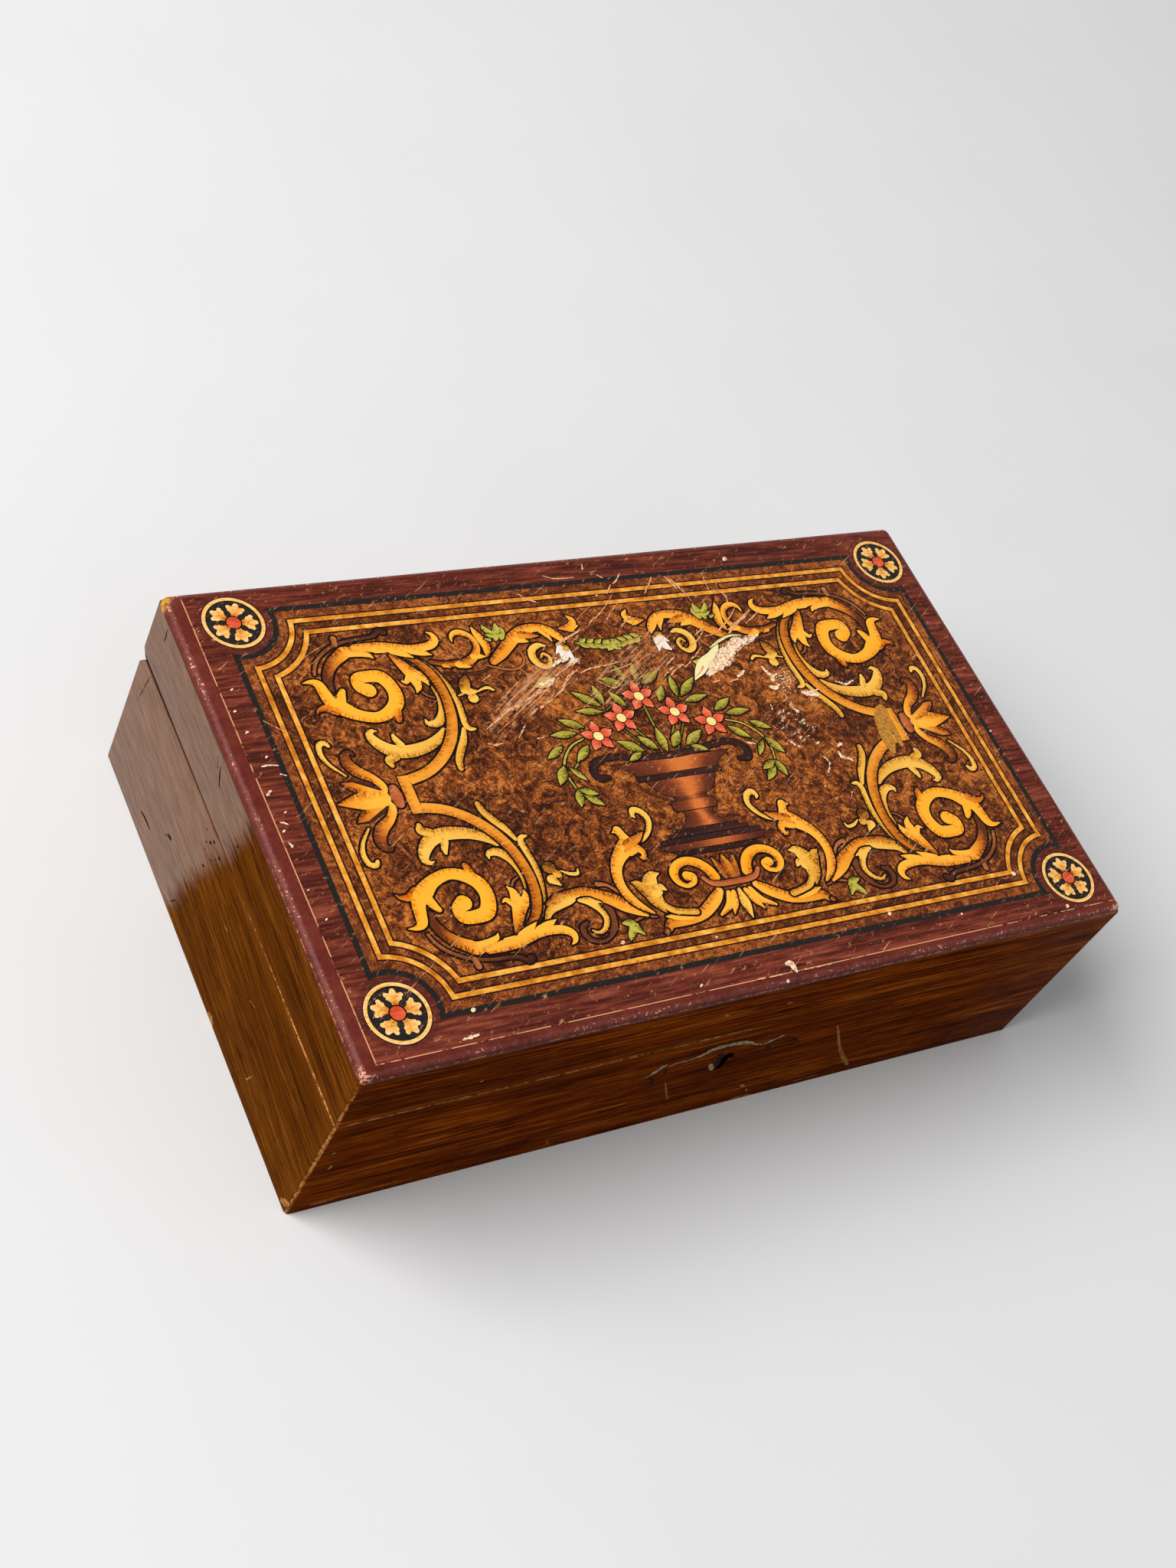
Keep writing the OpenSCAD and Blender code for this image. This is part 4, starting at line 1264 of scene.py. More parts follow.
print_shapes("upper_hooks", gold_finish, 0.07, [
    stroke((-58.1, 43.5, 1.4), (-54.1, 42.3, 1.6), (-48.0, 42.0, 2.6), (-44.4, 43.6, 2.6),
           (-42.3, 46.2, 2.0), (-41.9, 48.9, 1.7), (-43.0, 51.3, 1.8), (-45.3, 52.7, 2.0),
           (-47.4, 52.5, 1.6), (-48.6, 51.2, 1.0), (-48.9, 49.7, 0.3), tone=(0.2, 1.1)),
    stroke((-44.5, 43.8, 2.0), (-42.3, 43.6, 1.6), (-40.6, 43.3, 0.2), tone=1.1),
    stroke((-50.0, 41.5, 2.4), (-47.8, 40.6, 1.2), (-46.5, 40.3, 0.2), tone=1.1),
    stroke((-54.5, 41.8, 1.6), (-52.9, 40.9, 0.3), tone=(0.8, 0.9)),
    stroke((-40.9, 54.1, 0.3), (-40.5, 52.1, 1.8), (-39.7, 49.7, 2.6), (-39.1, 46.9, 2.6),
           (-39.7, 44.5, 1.6), (-40.3, 43.3, 0.3), tone=(1.1, 0.7)),
], mirror="x")
print_shapes("small_volutes", straw_finish, 0.07, [
    stroke((-20.4, 44.8, 0.6), (-22.6, 45.2, 1.8), (-25.1, 43.9, 2.2), (-26.1, 41.2, 2.4),
           (-25.2, 38.6, 2.2), (-23.2, 37.4, 1.8), (-21.3, 38.6, 1.2), (-20.9, 40.6, 1.2),
           (-22.3, 42.0, 1.0), (-23.4, 40.9, 0.6), tone=(1.2, 0.8)),
    stroke((-15.6, 44.3, 2.6), (-14.0, 43.0, 2.2), tone=(0.6, 0.7)),
    stroke((-52.6, 32.5, 1.5), (-51.5, 34.0, 3.2), (-50.5, 36.0, 2.6), (-49.8, 37.6, 0.4),
           tone=(0.8, 0.2)),
    stroke((-52.6, 32.5, 1.2), (-50.6, 31.9, 2.6), (-48.2, 31.8, 0.5), tone=1.0),
    stroke((-50.6, 29.5, 3.0), (-50.4, 29.6, 3.0), tone=1.1),
    stroke((-48.2, 31.6, 0.4), (-46.2, 32.4, 0.8), (-44.5, 32.5, 1.0), (-43.3, 31.6, 0.8),
           tone=1.2),
    stroke((-54.5, 31.0, 0.5), (-52.5, 31.6, 0.5), tone=1.0),
    stroke((-52.0, -27.7, 3.6), (-51.8, -27.8, 3.6), tone=0.3),
    stroke((-50.5, -30.0, 2.4), (-50.3, -30.1, 2.4), tone=0.8),
    stroke((-52.6, -31.5, 3.0), (-50.8, -33.6, 0.4), tone=1.1),
    stroke((-48.9, -29.3, 0.4), (-46.8, -30.6, 1.0), (-44.5, -30.9, 1.0), (-43.8, -29.5, 0.3),
           tone=1.2),
], mirror="x")

white_finish = print_finish(
    "white_ink",
    ((0.0, 150, 120, 90), (0.4, 206, 190, 168), (1.0, 240, 234, 222)),
    hatch=0.15, side=0.2,
)
print_shapes("bells", white_finish, 0.07, [
    stroke((-15.4, 42.8, 2.6), (-15.9, 40.2, 2.8), (-17.2, 38.7, 1.0), tone=(0.7, 1.0)),
    stroke((-14.0, 42.5, 2.0), (-13.7, 40.2, 1.6), (-13.1, 38.4, 0.4), tone=(0.7, 1.0)),
    stroke((-16.0, 43.6, 2.0), (-18.0, 41.5, 0.4), tone=(0.7, 1.0)),
], mirror="x", outline=0.22)

# The lower scrolls.
# A gold band that rises to a tall acanthus on each side, straw-coloured leaves, and a pair of
# volutes with a crown between them, tied by a copper ribbon over a small palmette.

print_shapes("lower_bands", gold_finish, 0.035, [
    stroke((-57.2, -38.5, 1.0), (-53.5, -37.0, 2.0), (-49.3, -36.6, 2.2), (-45.2, -36.8, 2.8),
           (-41.5, -38.5, 3.4), (-38.1, -40.5, 4.0), (-35.2, -43.0, 4.0), (-32.3, -45.5, 2.4),
           (-29.9, -47.2, 0.8), tone=(0.4, 0.9)),
    stroke((-25.7, -52.6, 1.8), (-24.0, -50.9, 3.0), (-20.7, -50.9, 3.0), (-16.6, -50.7, 3.0),
           (-12.9, -49.7, 3.4), (-9.5, -47.8, 3.6), (-6.6, -45.7, 3.4), (-4.6, -43.9, 2.2),
           tone=(0.5, 1.0)),
    stroke((-24.5, -48.6, 0.4), (-21.0, -49.3, 2.2), (-17.0, -50.0, 2.0), tone=1.0),
    stroke((-2.0, -45.0, 1.6), (-3.6, -48.6, 2.2), (-7.6, -51.2, 0.8), tone=(1.1, 0.9)),
    stroke((-0.4, -45.0, 1.4), (-1.8, -48.5, 2.2), (-3.4, -51.6, 0.4), tone=(1.1, 0.9)),
], mirror="x")
print_shapes("lower_leaves", straw_finish, 0.035, [
    stroke((-59.7, -43.5, 1.0), (-57.2, -40.5, 2.2), (-53.5, -39.1, 2.8), (-50.2, -38.3, 2.6),
           (-47.0, -37.6, 0.4), tone=(0.7, 1.1)),
    stroke((1.6, -44.5, 1.0), (1.6, -49.0, 3.0), (1.6, -53.8, 0.3), tone=(1.1, 1.0)),
], mirror="x")
print_shapes("lower_hooks", straw_finish, 0.07, [
    stroke((-47.7, -39.1, 1.0), (-44.8, -40.1, 2.6), (-42.9, -43.0, 1.8), (-42.3, -45.9, 1.6),
           (-43.9, -48.6, 1.3), (-46.2, -49.6, 1.0), (-47.9, -48.6, 0.5), tone=(1.1, 0.8)),
    stroke((-44.5, -39.8, 2.0), (-41.7, -40.8, 0.3), tone=1.1),
    stroke((-24.0, -47.2, 0.6), (-25.3, -43.9, 3.2), (-25.7, -40.5, 4.4), (-24.5, -37.6, 4.4),
           (-22.8, -35.6, 3.0), (-20.5, -35.2, 0.3), tone=(0.6, 1.1)),
    stroke((-24.0, -40.5, 4.0), (-22.0, -39.6, 2.6), (-20.6, -40.7, 0.4), tone=(1.0, 1.1)),
    stroke((-27.0, -40.5, 2.6), (-28.3, -37.6, 2.6), (-29.8, -36.6, 0.5), tone=(0.6, 0.7)),
    stroke((-23.0, -42.2, 0.4), (-23.4, -44.7, 1.6), (-21.6, -47.0, 2.0), (-18.2, -48.2, 1.8),
           (-14.9, -48.8, 2.0), tone=(0.9, 0.7)),
    stroke((-23.2, -25.2, 0.4), (-19.5, -23.7, 1.0), (-16.7, -20.9, 1.5), (-15.5, -17.8, 1.7),
           (-16.6, -15.1, 1.9), (-18.7, -14.2, 1.9), (-19.6, -15.7, 1.4), (-19.2, -16.6, 0.5),
           tone=(0.9, 1.2)),
], mirror="x")
print_shapes("lower_acanthus", gold_finish, 0.09, [
    stroke((-27.8, -46.8, 0.8), (-30.7, -43.9, 2.2), (-32.5, -41.0, 2.8), (-33.4, -37.6, 2.8),
           (-33.2, -33.9, 3.0), (-31.9, -30.6, 3.4), (-29.8, -28.1, 4.0), (-27.4, -26.0, 4.6),
           (-25.7, -23.5, 3.6), (-25.9, -21.5, 2.6), (-26.5, -19.8, 2.6), tone=(0.8, 1.1)),
    stroke((-27.2, -20.0, 1.6), (-28.3, -20.3, 0.4), tone=1.1),
    stroke((-26.0, -27.0, 3.0), (-23.4, -26.4, 2.6), (-22.0, -28.0, 1.8), (-22.7, -29.8, 1.2),
           (-23.6, -29.3, 0.4), tone=(0.9, 0.8)),
    stroke((-25.5, -24.6, 3.0), (-22.0, -23.4, 2.4), (-19.3, -21.7, 0.4), tone=(0.6, 0.5)),
    stroke((-26.9, -53.2, 1.0), (-26.3, -52.8, 1.2), tone=(0.2, 0.4)),
], mirror="x")
print_shapes("lower_volutes", bright_finish, 0.105, [
    stroke((-3.9, -39.3, 3.2), (-5.0, -36.4, 3.2), (-7.5, -33.9, 3.0), (-10.8, -32.9, 2.6),
           (-14.1, -33.9, 2.6), (-16.0, -36.2, 2.6), (-15.8, -38.9, 2.0), (-13.7, -40.6, 1.4),
           (-11.2, -39.9, 1.6), (-10.6, -38.1, 2.2), (-12.2, -37.6, 3.0), tone=(0.8, 1.1)),
], mirror="x")
print_shapes("lower_crown", gold_finish, 0.085, [
    stroke((-1.9, -33.5, 0.4), (-1.0, -36.0, 2.0), (0.0, -39.5, 2.6), tone=(0.45, 0.25)),
    stroke((1.6, -33.0, 0.6), (1.6, -36.0, 3.0), (1.6, -40.0, 3.4), tone=(0.6, 0.3)),
], mirror="x")
print_shapes("lower_ties", copper_finish, 0.125, [
    stroke((-7.7, -39.0, 1.2), (-6.0, -41.0, 1.6), (-3.0, -41.8, 1.8), (1.6, -41.9, 1.8),
           tone=(0.65, 0.50)),
], mirror="x", outline=0.40)

# The urn.
# A turned bowl on a stepped foot, printed brown-red with a lit middle and dark bands. Its dusky
# rim curls down at both ends into handles.

clay_finish, clay_shader, clay_place = new_finish("clay_ink", Specular_IOR_Level=0.05)
_, clay_across, clay_depth = on_stroke(clay_place)
clay_fleck = noise(clay_place, 0.6, detail=3.0, rough=0.6, shift=150.0)
clay_lit = (1.0 - abs(clay_across - 0.60).fade(0.0, 0.30)) * 0.45
clay_lit = clay_lit + 0.42 - abs(clay_across - 0.52) * 0.55 + (clay_fleck - 0.5) * 0.35
clay_colour = (clay_lit * clay_depth).ramp(
    (0.05, 46, 24, 22),
    (0.28, 112, 52, 28),
    (0.50, 158, 78, 36),
    (0.80, 206, 112, 52),
)
plug_print(clay_shader, clay_place, clay_colour)


def turned_part(tone, *profile):
    """A part of the urn, given as heights and half widths, seen as a band of changing width."""
    return stroke(*[(middle_x, y, 2 * half) for y, half in profile], kind="straight", tone=tone)


print_shapes("urn_bowl", clay_finish, 0.035, [
    turned_part(1.0, (-4.0, 13.8), (-3.0, 14.2), (-2.0, 15.2), (-1.0, 16.6), (0.0, 18.4),
                (1.0, 20.5)),
    turned_part(0.95, (-12.4, 4.3), (-11.9, 6.2), (-11.3, 8.0), (-10.0, 9.2), (-8.0, 10.6),
                (-5.8, 11.9)),
    turned_part(0.75, (-13.6, 5.3), (-12.4, 5.3)),
    turned_part(1.05, (-17.0, 6.6), (-16.4, 7.2), (-15.4, 7.5), (-14.3, 7.2), (-13.7, 6.6)),
    turned_part(0.9, (-22.8, 8.6), (-22.2, 7.4), (-20.6, 5.7), (-19.2, 4.8), (-18.2, 4.5),
                (-17.3, 5.4)),
    turned_part(0.8, (-29.5, 14.6), (-29.0, 16.4), (-28.2, 17.6), (-27.3, 18.1)),
], mirror="", outline=0.34)
print_shapes("urn_bands", dusk_finish, 0.07, [
    turned_part(0.5, (-5.8, 14.3), (-3.9, 14.3)),
    turned_part(0.4, (-24.0, 10.7), (-22.9, 10.7)),
    turned_part(0.6, (-25.2, 13.6), (-24.1, 13.6)),
    turned_part(0.5, (-27.2, 16.9), (-25.6, 16.9)),
    turned_part(0.3, (-31.4, 13.6), (-30.2, 13.6)),
], mirror="", outline=0.20)
print_shapes("urn_rim", dusk_finish, 0.09, [
    stroke((-20.8, -2.6, 1.4), (-23.6, -2.6, 2.4), (-24.8, -0.2, 2.4), (-23.2, 2.6, 2.2),
           (-18.7, 3.9, 2.0), (-13.2, 3.4, 2.0), (-7.0, 2.4, 2.0), (1.6, 1.9, 2.0),
           tone=(0.3, 0.6)),
], mirror="x", outline=0.25)

# The leaves.
# Green leaves on thin stems in and round the urn, the garland over it, and the sprigs beside the
# scrolls. Each is one stroke, widest a little under its middle.

leaf_finish = print_finish(
    "leaf_ink",
    ((0.0, 52, 42, 16), (0.35, 98, 86, 26), (0.70, 146, 134, 42),
     (1.0, 186, 174, 72)),
    hatch=0.60, side=0.50, grain=0.65,
)


def lens_leaf(x0, y0, x1, y1, width, tone=(0.7, 1.0)):
    """A leaf from its foot to its tip, widest a little under the middle."""
    def part(share, wide):
        return (x0 + (x1 - x0) * share, y0 + (y1 - y0) * share, width * wide)
    return stroke(part(0.0, 0.10), part(0.22, 0.72), part(0.45, 1.0), part(0.72, 0.72),
                  part(1.0, 0.04), tone=tone)


print_shapes("urn_stems", leaf_finish, 0.0, [
    stroke((-23.0, 11.3, 0.5), (-28.0, 9.2, 0.6), (-32.2, 4.5, 0.7), (-33.2, -0.3, 0.6),
           (-32.4, -5.0, 0.5), tone=1.0),
    stroke((-22.7, 8.7, 0.4), (-30.0, 1.8, 0.4), tone=0.9),
    stroke((1.6, 20.5, 0.7), (1.6, 11.5, 0.7), tone=0.7),
    stroke((-5.0, 12.0, 0.5), (-1.5, 7.0, 0.5), tone=0.7),
    stroke((-9.0, 13.0, 0.4), (-2.0, 3.0, 0.5), tone=0.5),
    stroke((-11.0, 20.0, 0.4), (-4.0, 24.0, 0.4), tone=0.4),
], mirror="x", outline=0.42)
print_shapes("urn_leaves", leaf_finish, 0.105, [
    lens_leaf(-12.4, 21.6, -19.6, 27.6, 2.8),
    lens_leaf(-11.1, 21.8, -11.9, 29.2, 2.5),
    lens_leaf(-4.3, 20.5, -7.7, 26.0, 2.5),
    lens_leaf(-12.7, 19.5, -21.1, 20.8, 2.3),
    lens_leaf(-21.1, 15.0, -28.0, 18.7, 2.7),
    lens_leaf(-24.3, 13.4, -32.7, 13.7, 2.5),
    lens_leaf(-30.6, 9.7, -36.9, 6.1, 2.3),
    lens_leaf(-22.4, 8.9, -28.2, 3.9, 2.6),
    lens_leaf(-33.0, 3.2, -36.9, -2.9, 2.9),
    lens_leaf(-31.6, 2.4, -27.9, -2.6, 1.9),
    lens_leaf(-31.9, -5.0, -26.6, -7.4, 2.3),
    lens_leaf(-32.2, -5.0, -33.7, -10.8, 2.5),
    lens_leaf(-31.1, -7.1, -26.4, -11.3, 2.4),
    lens_leaf(-5.8, 4.5, -12.9, 8.9, 3.1),
    lens_leaf(-6.9, 4.0, -11.9, 1.8, 2.1),
    lens_leaf(-1.1, 4.5, -5.6, 9.7, 2.9),
    lens_leaf(-1.5, 27.5, -8.8, 31.2, 3.1, (0.5, 0.8)),
    lens_leaf(-0.5, 28.5, -1.5, 35.5, 2.4, (0.5, 0.8)),
], mirror="x", outline=0.45)
print_shapes("urn_middle_leaf", leaf_finish, 0.125, [
    lens_leaf(1.6, 3.2, 1.6, 11.8, 3.0),
], mirror="", outline=0.45)
print_shapes("sprigs", leaf_finish, 0.105, [
    stroke((-29.5, 31.0, 1.0), (-27.0, 31.8, 3.4), (-24.5, 32.5, 3.0), (-22.5, 33.2, 0.4),
           tone=(1.1, 1.3)),
    stroke((-35.0, 49.0, 1.4), (-33.4, 52.0, 2.6), (-33.0, 54.7, 0.3)),
    stroke((-33.0, 49.5, 2.0), (-31.8, 51.5, 1.6), (-31.8, 53.0, 0.3)),
    stroke((-35.0, 50.5, 2.0), (-37.0, 53.0, 1.6), (-37.4, 54.5, 0.3)),
    stroke((-37.5, 51.0, 0.3), (-36.0, 50.3, 1.4), (-33.5, 50.4, 1.4), (-31.8, 50.6, 0.3)),
    stroke((-38.5, 49.5, 0.3), (-37.0, 49.0, 1.2)),
    stroke((-38.0, -48.2, 1.0), (-36.0, -48.6, 2.4), (-34.4, -49.4, 1.0)),
    stroke((-36.0, -50.5, 2.5), (-37.7, -52.5, 1.6), (-38.2, -53.6, 0.3)),
    stroke((-35.0, -50.5, 2.4), (-33.4, -52.7, 0.4)),
], mirror="x", outline=0.40)
garland = [stroke((-10.0, 44.6, 0.5), (-4.0, 43.0, 0.8), (1.6, 42.4, 0.8), tone=0.8)]
for bead in range(5):
    bead_x = -9.0 + bead * 2.5
    bead_y = 44.4 - bead * 0.45
    garland.append(lens_leaf(bead_x, bead_y, bead_x + 2.9, bead_y + 1.5, 1.7, (0.9, 1.1)))
    garland.append(lens_leaf(bead_x, bead_y, bead_x + 2.9, bead_y - 2.0, 1.8, (0.8, 1.1)))
garland.append(lens_leaf(0.2, 42.3, 3.2, 42.3, 2.2, (1.0, 1.2)))
print_shapes("garland", leaf_finish, 0.07, garland, mirror="x", outline=0.36)

# The flowers.
# Five flowers over the urn, printed last, each with five pointed salmon petals round a yellow
# eye.

petal_finish = print_finish(
    "petal_ink",
    ((0.0, 140, 42, 24), (0.40, 198, 70, 44), (0.75, 228, 98, 64),
     (1.0, 242, 150, 116)),
    hatch=0.20, side=0.20, grain=0.50,
)
eye_finish = print_finish(
    "eye_ink",
    ((0.0, 190, 140, 60), (0.6, 230, 196, 100), (1.0, 248, 224, 150)),
    hatch=0.1, side=0.1, grain=0.5,
)
flower_places = ((1.5, 23.2), (-7.7, 16.6), (10.6, 16.3), (-17.9, 11.4), (21.0, 11.3))
petals = []
eyes = []
for flower_x, flower_y in flower_places:
    for petal in range(5):
        angle = math.radians(90.0 + 72.0 * petal)
        out_x = math.cos(angle)
        out_y = math.sin(angle)
        petals.append(stroke(
            (flower_x + out_x * 0.8, flower_y + out_y * 0.8, 1.2),
            (flower_x + out_x * 2.6, flower_y + out_y * 2.6, 2.9),
            (flower_x + out_x * 3.8, flower_y + out_y * 3.8, 2.5),
            (flower_x + out_x * 5.4, flower_y + out_y * 5.4, 0.1),
            tone=(0.4, 0.95),
        ))
    eyes.append(disc(flower_x, flower_y, 3.0, 0.9))
print_shapes("flower_petals", petal_finish, 0.14, petals, mirror="", outline=0.42)
print_shapes("flower_eyes", eye_finish, 0.165, eyes, mirror="", outline=0.30)

# The corner rosettes.
# A pale gold ring round a black ground in each corner of the border, with a flower of five
# lobed petals and a salmon heart.

ground_finish, ground_shader, ground_place = new_finish(
    "black_ink", Specular_IOR_Level=0.05
)
ground_grain = noise(ground_place, 1.4, detail=3.0, shift=160.0)
plug_print(
    ground_shader,
    ground_place,
    ground_grain.ramp((0.3, 28, 25, 24), (0.7, 44, 38, 34)),
)
rosette_ink = print_finish(
    "rosette_ink",
    ((0.0, 146, 76, 22), (0.30, 200, 120, 38), (0.60, 228, 158, 64),
     (1.0, 242, 202, 132)),
    hatch=0.15, side=0.0, grain=0.90,
)
# Each corner, with the angle of its first petal: no two rosettes are turned alike.
rosettes = ((-1, -1, 82.0), (-1, 1, 67.0), (1, -1, 90.0), (1, 1, 115.0))
rings = []
grounds = []
rose_petals = []
rose_hearts = []


def round_the_rosette(centre, *places):
    """The points of a stroke through places of (radius, degrees, width) round a centre."""
    spots = []
    for radius, degrees, width in places:
        out_x = math.cos(math.radians(degrees))
        out_y = math.sin(math.radians(degrees))
        spots.append((centre[0] + radius * out_x, centre[1] + radius * out_y, width))
    return spots


for side_x, side_y, first_turn in rosettes:
    centre = (border_x + rosette_x * side_x, border_y + rosette_y * side_y)
    ring = round_the_rosette(centre, *[(8.3, turn, 1.05) for turn in range(0, 361, 5)])
    rings.append(stroke(*ring, kind="straight", tone=0.85))
    grounds.append(disc(*centre, 15.7))
    for petal in range(5):
        turn = first_turn + 72.0 * petal
        for lobe in (
            ((2.4, 0, 1.6), (3.8, 0, 2.4), (5.2, 0, 2.6), (6.3, 0, 1.5)),
            ((3.4, 4, 1.4), (4.8, 14, 1.7), (5.6, 21, 1.3)),
            ((3.4, -4, 1.4), (4.8, -14, 1.7), (5.6, -21, 1.3)),
            ((3.0, 4, 1.2), (4.0, 14, 1.2), (4.5, 22, 0.9)),
            ((3.0, -4, 1.2), (4.0, -14, 1.2), (4.5, -22, 0.9)),
        ):
            places = [(radius, turn + off, width) for radius, off, width in lobe]
            rose_petals.append(stroke(*round_the_rosette(centre, *places), tone=(0.25, 1.0)))
    rose_hearts.append(disc(*centre, 4.0, 0.55))
print_shapes("rosette_grounds", ground_finish, 0.0, grounds, mirror="", outline=0.3)
print_shapes("rosette_rings", rosette_ink, 0.04, rings, mirror="", outline=0.26)
lay_strokes("rosette_petals", rosette_ink, rose_petals, "", 0.05)
print_shapes("rosette_hearts", petal_finish, 0.075, rose_hearts, mirror="", outline=0.40)

# The wear of the print.
# Flakes down to the cream paper and long scratches, worst round the right end of the garland,
# a leaf that has rubbed pale, and a dull smear of old varnish over the strap on the right.


def wear_finish(name, dark, light, whole=0.0):
    """Bare paper or wood in a broken stroke: whole is 1 where its tone is 1."""
    finish, shader, place = new_finish(name, Specular_IOR_Level=0.05, Roughness=0.75)
    _, across, depth = on_stroke(place)
    crumb = noise(turned(place, 33.0), 0.55, (2.4, 1.0, 1.0), detail=4.0, rough=0.65, shift=170.0)
    dust = noise(place, 1.1, detail=4.0, rough=0.6, shift=171.0)
    inside = 1.0 - abs(across - 0.5) * 2.0
    shown = crumb * 0.9 + inside * 0.28 + depth * 0.45 + whole
    plug(shader, Base_Color=dust.ramp((0.36, *dark), (0.56, *light)), Alpha=shown.fade(0.60, 0.66))
    return finish


flake_finish = wear_finish("flaked_print", (196, 130, 92), (248, 222, 186), -0.12)
scratch_finish = wear_finish("scratched_print", (186, 112, 72), (230, 172, 124), 0.02)
smear_finish = wear_finish("varnish_smear", (150, 96, 34), (188, 132, 54), 0.1)
pale_leaf_finish = print_finish(
    "pale_leaf_ink",
    ((0.0, 120, 108, 48), (0.45, 196, 184, 104), (1.0, 236, 222, 164)),
    hatch=0.30, side=0.30, grain=1.0,
)
print_shapes("worn_leaf", pale_leaf_finish, 0.125, [
    stroke((23.2, 26.6, 0.4), (26.3, 29.5, 3.1), (29.5, 32.4, 3.5), (32.7, 34.4, 2.6),
           (35.4, 36.5, 2.0), (37.2, 38.1, 0.5), tone=(1.35, 1.2)),
    stroke((34.1, 37.5, 0.4), (38.6, 39.6, 0.9), (42.9, 41.0, 0.8), (47.3, 40.8, 0.3),
           tone=(0.9, 0.8)),
], mirror="", outline=0.3)
lay_strokes("flakes", flake_finish, [
    stroke((31.3, 29.5, 1.5), (34.3, 30.8, 4.5), (37.8, 33.4, 5.5), (41.4, 36.2, 5.7),
           (44.9, 38.2, 4.5), (48.5, 38.7, 3.5), (51.5, 39.6, 1.8), (53.2, 40.1, 0.6),
           tone=(0.55, 0.45)),
    stroke((38.4, 25.9, 1.0), (39.9, 26.5, 1.3), (41.3, 27.5, 0.8), tone=0.5),
    stroke((48.4, 28.0, 1.1), (49.0, 26.2, 1.2), (50.0, 24.4, 1.8), (49.7, 23.0, 1.6), tone=0.55),
    stroke((50.1, 24.2, 1.2), (52.0, 24.9, 1.0), tone=0.5),
    stroke((47.8, 20.5, 1.6), (49.1, 20.1, 1.8), (51.0, 20.9, 0.8), tone=0.5),
    stroke((57.9, 17.1, 1.4), (59.8, 16.4, 2.6), (62.2, 15.8, 2.0), tone=(0.55, 0.5)),
    stroke((61.0, 17.2, 1.0), (63.8, 17.5, 0.5), tone=0.5),
    stroke((60.0, 14.7, 1.0), (59.0, 13.9, 0.8), tone=0.2),
    stroke((72.1, 19.3, 1.2), (74.6, 18.1, 2.0), (77.8, 18.9, 1.4), tone=0.3),
    stroke((44.1, 14.0, 0.8), (43.9, 12.7, 1.1), tone=0.3),
    stroke((51.3, 11.8, 1.4), (52.3, 10.4, 1.6), (51.7, 9.8, 1.4), tone=(0.4, 0.2)),
    stroke((43.6, 1.3, 1.6), (44.6, -0.3, 2.6), (46.1, -1.7, 1.4), tone=0.15),
    *flecks((48.1, 1.2, 1.1, 0.4), (53.0, -1.4, 1.2, 0.3)),
    stroke((59.7, -3.6, 1.2), (60.7, -3.0, 1.7), tone=0.45),
    stroke((58.5, -5.8, 1.2), (58.9, -7.5, 1.6), (61.0, -8.1, 1.4), (61.8, -9.5, 0.6),
           tone=(0.5, 0.4)),
    stroke((52.6, -6.5, 0.8), (53.3, -8.5, 1.2), (52.5, -10.2, 1.0), (51.3, -11.6, 1.2),
           tone=(0.35, 0.3)),
    stroke((55.4, -19.9, 0.7), (54.2, -21.6, 0.8), tone=0.2),
    *flecks((48.9, -21.2, 0.8, 0.2), (47.4, -16.5, 0.7, 0.3)),
    stroke((29.4, 2.2, 0.7), (31.4, 1.5, 0.7), tone=0.5),
    stroke((-21.6, 37.2, 1.6), (-19.2, 38.4, 2.8), (-16.7, 39.7, 2.6), tone=0.3),
    stroke((-27.5, 31.5, 1.8), (-25.2, 31.7, 3.5), (-23.0, 32.7, 1.6), tone=0.35),
    stroke((4.2, -69.6, 1.0), (5.5, -69.8, 2.0), (5.9, -71.2, 1.6), (6.1, -72.4, 0.8), tone=0.8),
    *flecks((1.8, -74.8, 0.9, 0.7)),
    stroke((-96.6, -71.6, 0.6), (-94.5, -71.4, 1.2), (-92.1, -71.1, 0.8), tone=0.45),
    *flecks((-90.7, -64.3, 1.1, 0.9), (-41.2, -53.9, 1.0, 0.9), (45.2, -61.1, 1.0, 0.9),
            (95.2, -56.3, 1.4, 0.8), (107.5, -70.2, 1.1, 0.8), (69.2, -65.7, 0.6, 0.8),
            (108.8, -54.5, 0.6, 0.8), (56.4, 70.3, 1.5, 0.7), (4.7, 60.9, 0.6, 0.8),
            (-12.9, -57.7, 0.5, 0.8), (118.1, -6.3, 0.6, 0.8), (-24.6, -70.8, 0.9, 0.5),
            (-120.5, 7.2, 0.9, 0.6), (-119.7, 8.0, 0.8, 0.6)),
    stroke((-118.9, 16.1, 0.5), (-116.6, 16.2, 0.7), (-114.6, 15.8, 0.5), tone=(0.6, 0.5)),
    stroke((-120.2, -1.5, 0.5), (-119.3, -1.9, 0.9), (-118.4, -2.5, 0.4), tone=0.45),
    *flecks((-120.3, -4.4, 0.8, 0.5)),
    stroke((-120.1, -8.0, 0.6), (-119.7, -9.1, 0.9), tone=0.5),
    *flecks((-117.9, 1.1, 0.6, 0.5), (-116.8, 18.7, 0.8, 0.3)),
    stroke((-114.8, 13.0, 0.5), (-113.6, 12.4, 0.7), tone=0.4),
    *flecks((-119.4, 27.2, 0.9, 0.4), (-120.3, 34.3, 0.7, 0.5), (-118.7, 41.4, 0.8, 0.4),
            (-120.4, -22.7, 0.8, 0.4), (-118.7, -31.8, 0.6, 0.5)),
], "", 0.20)
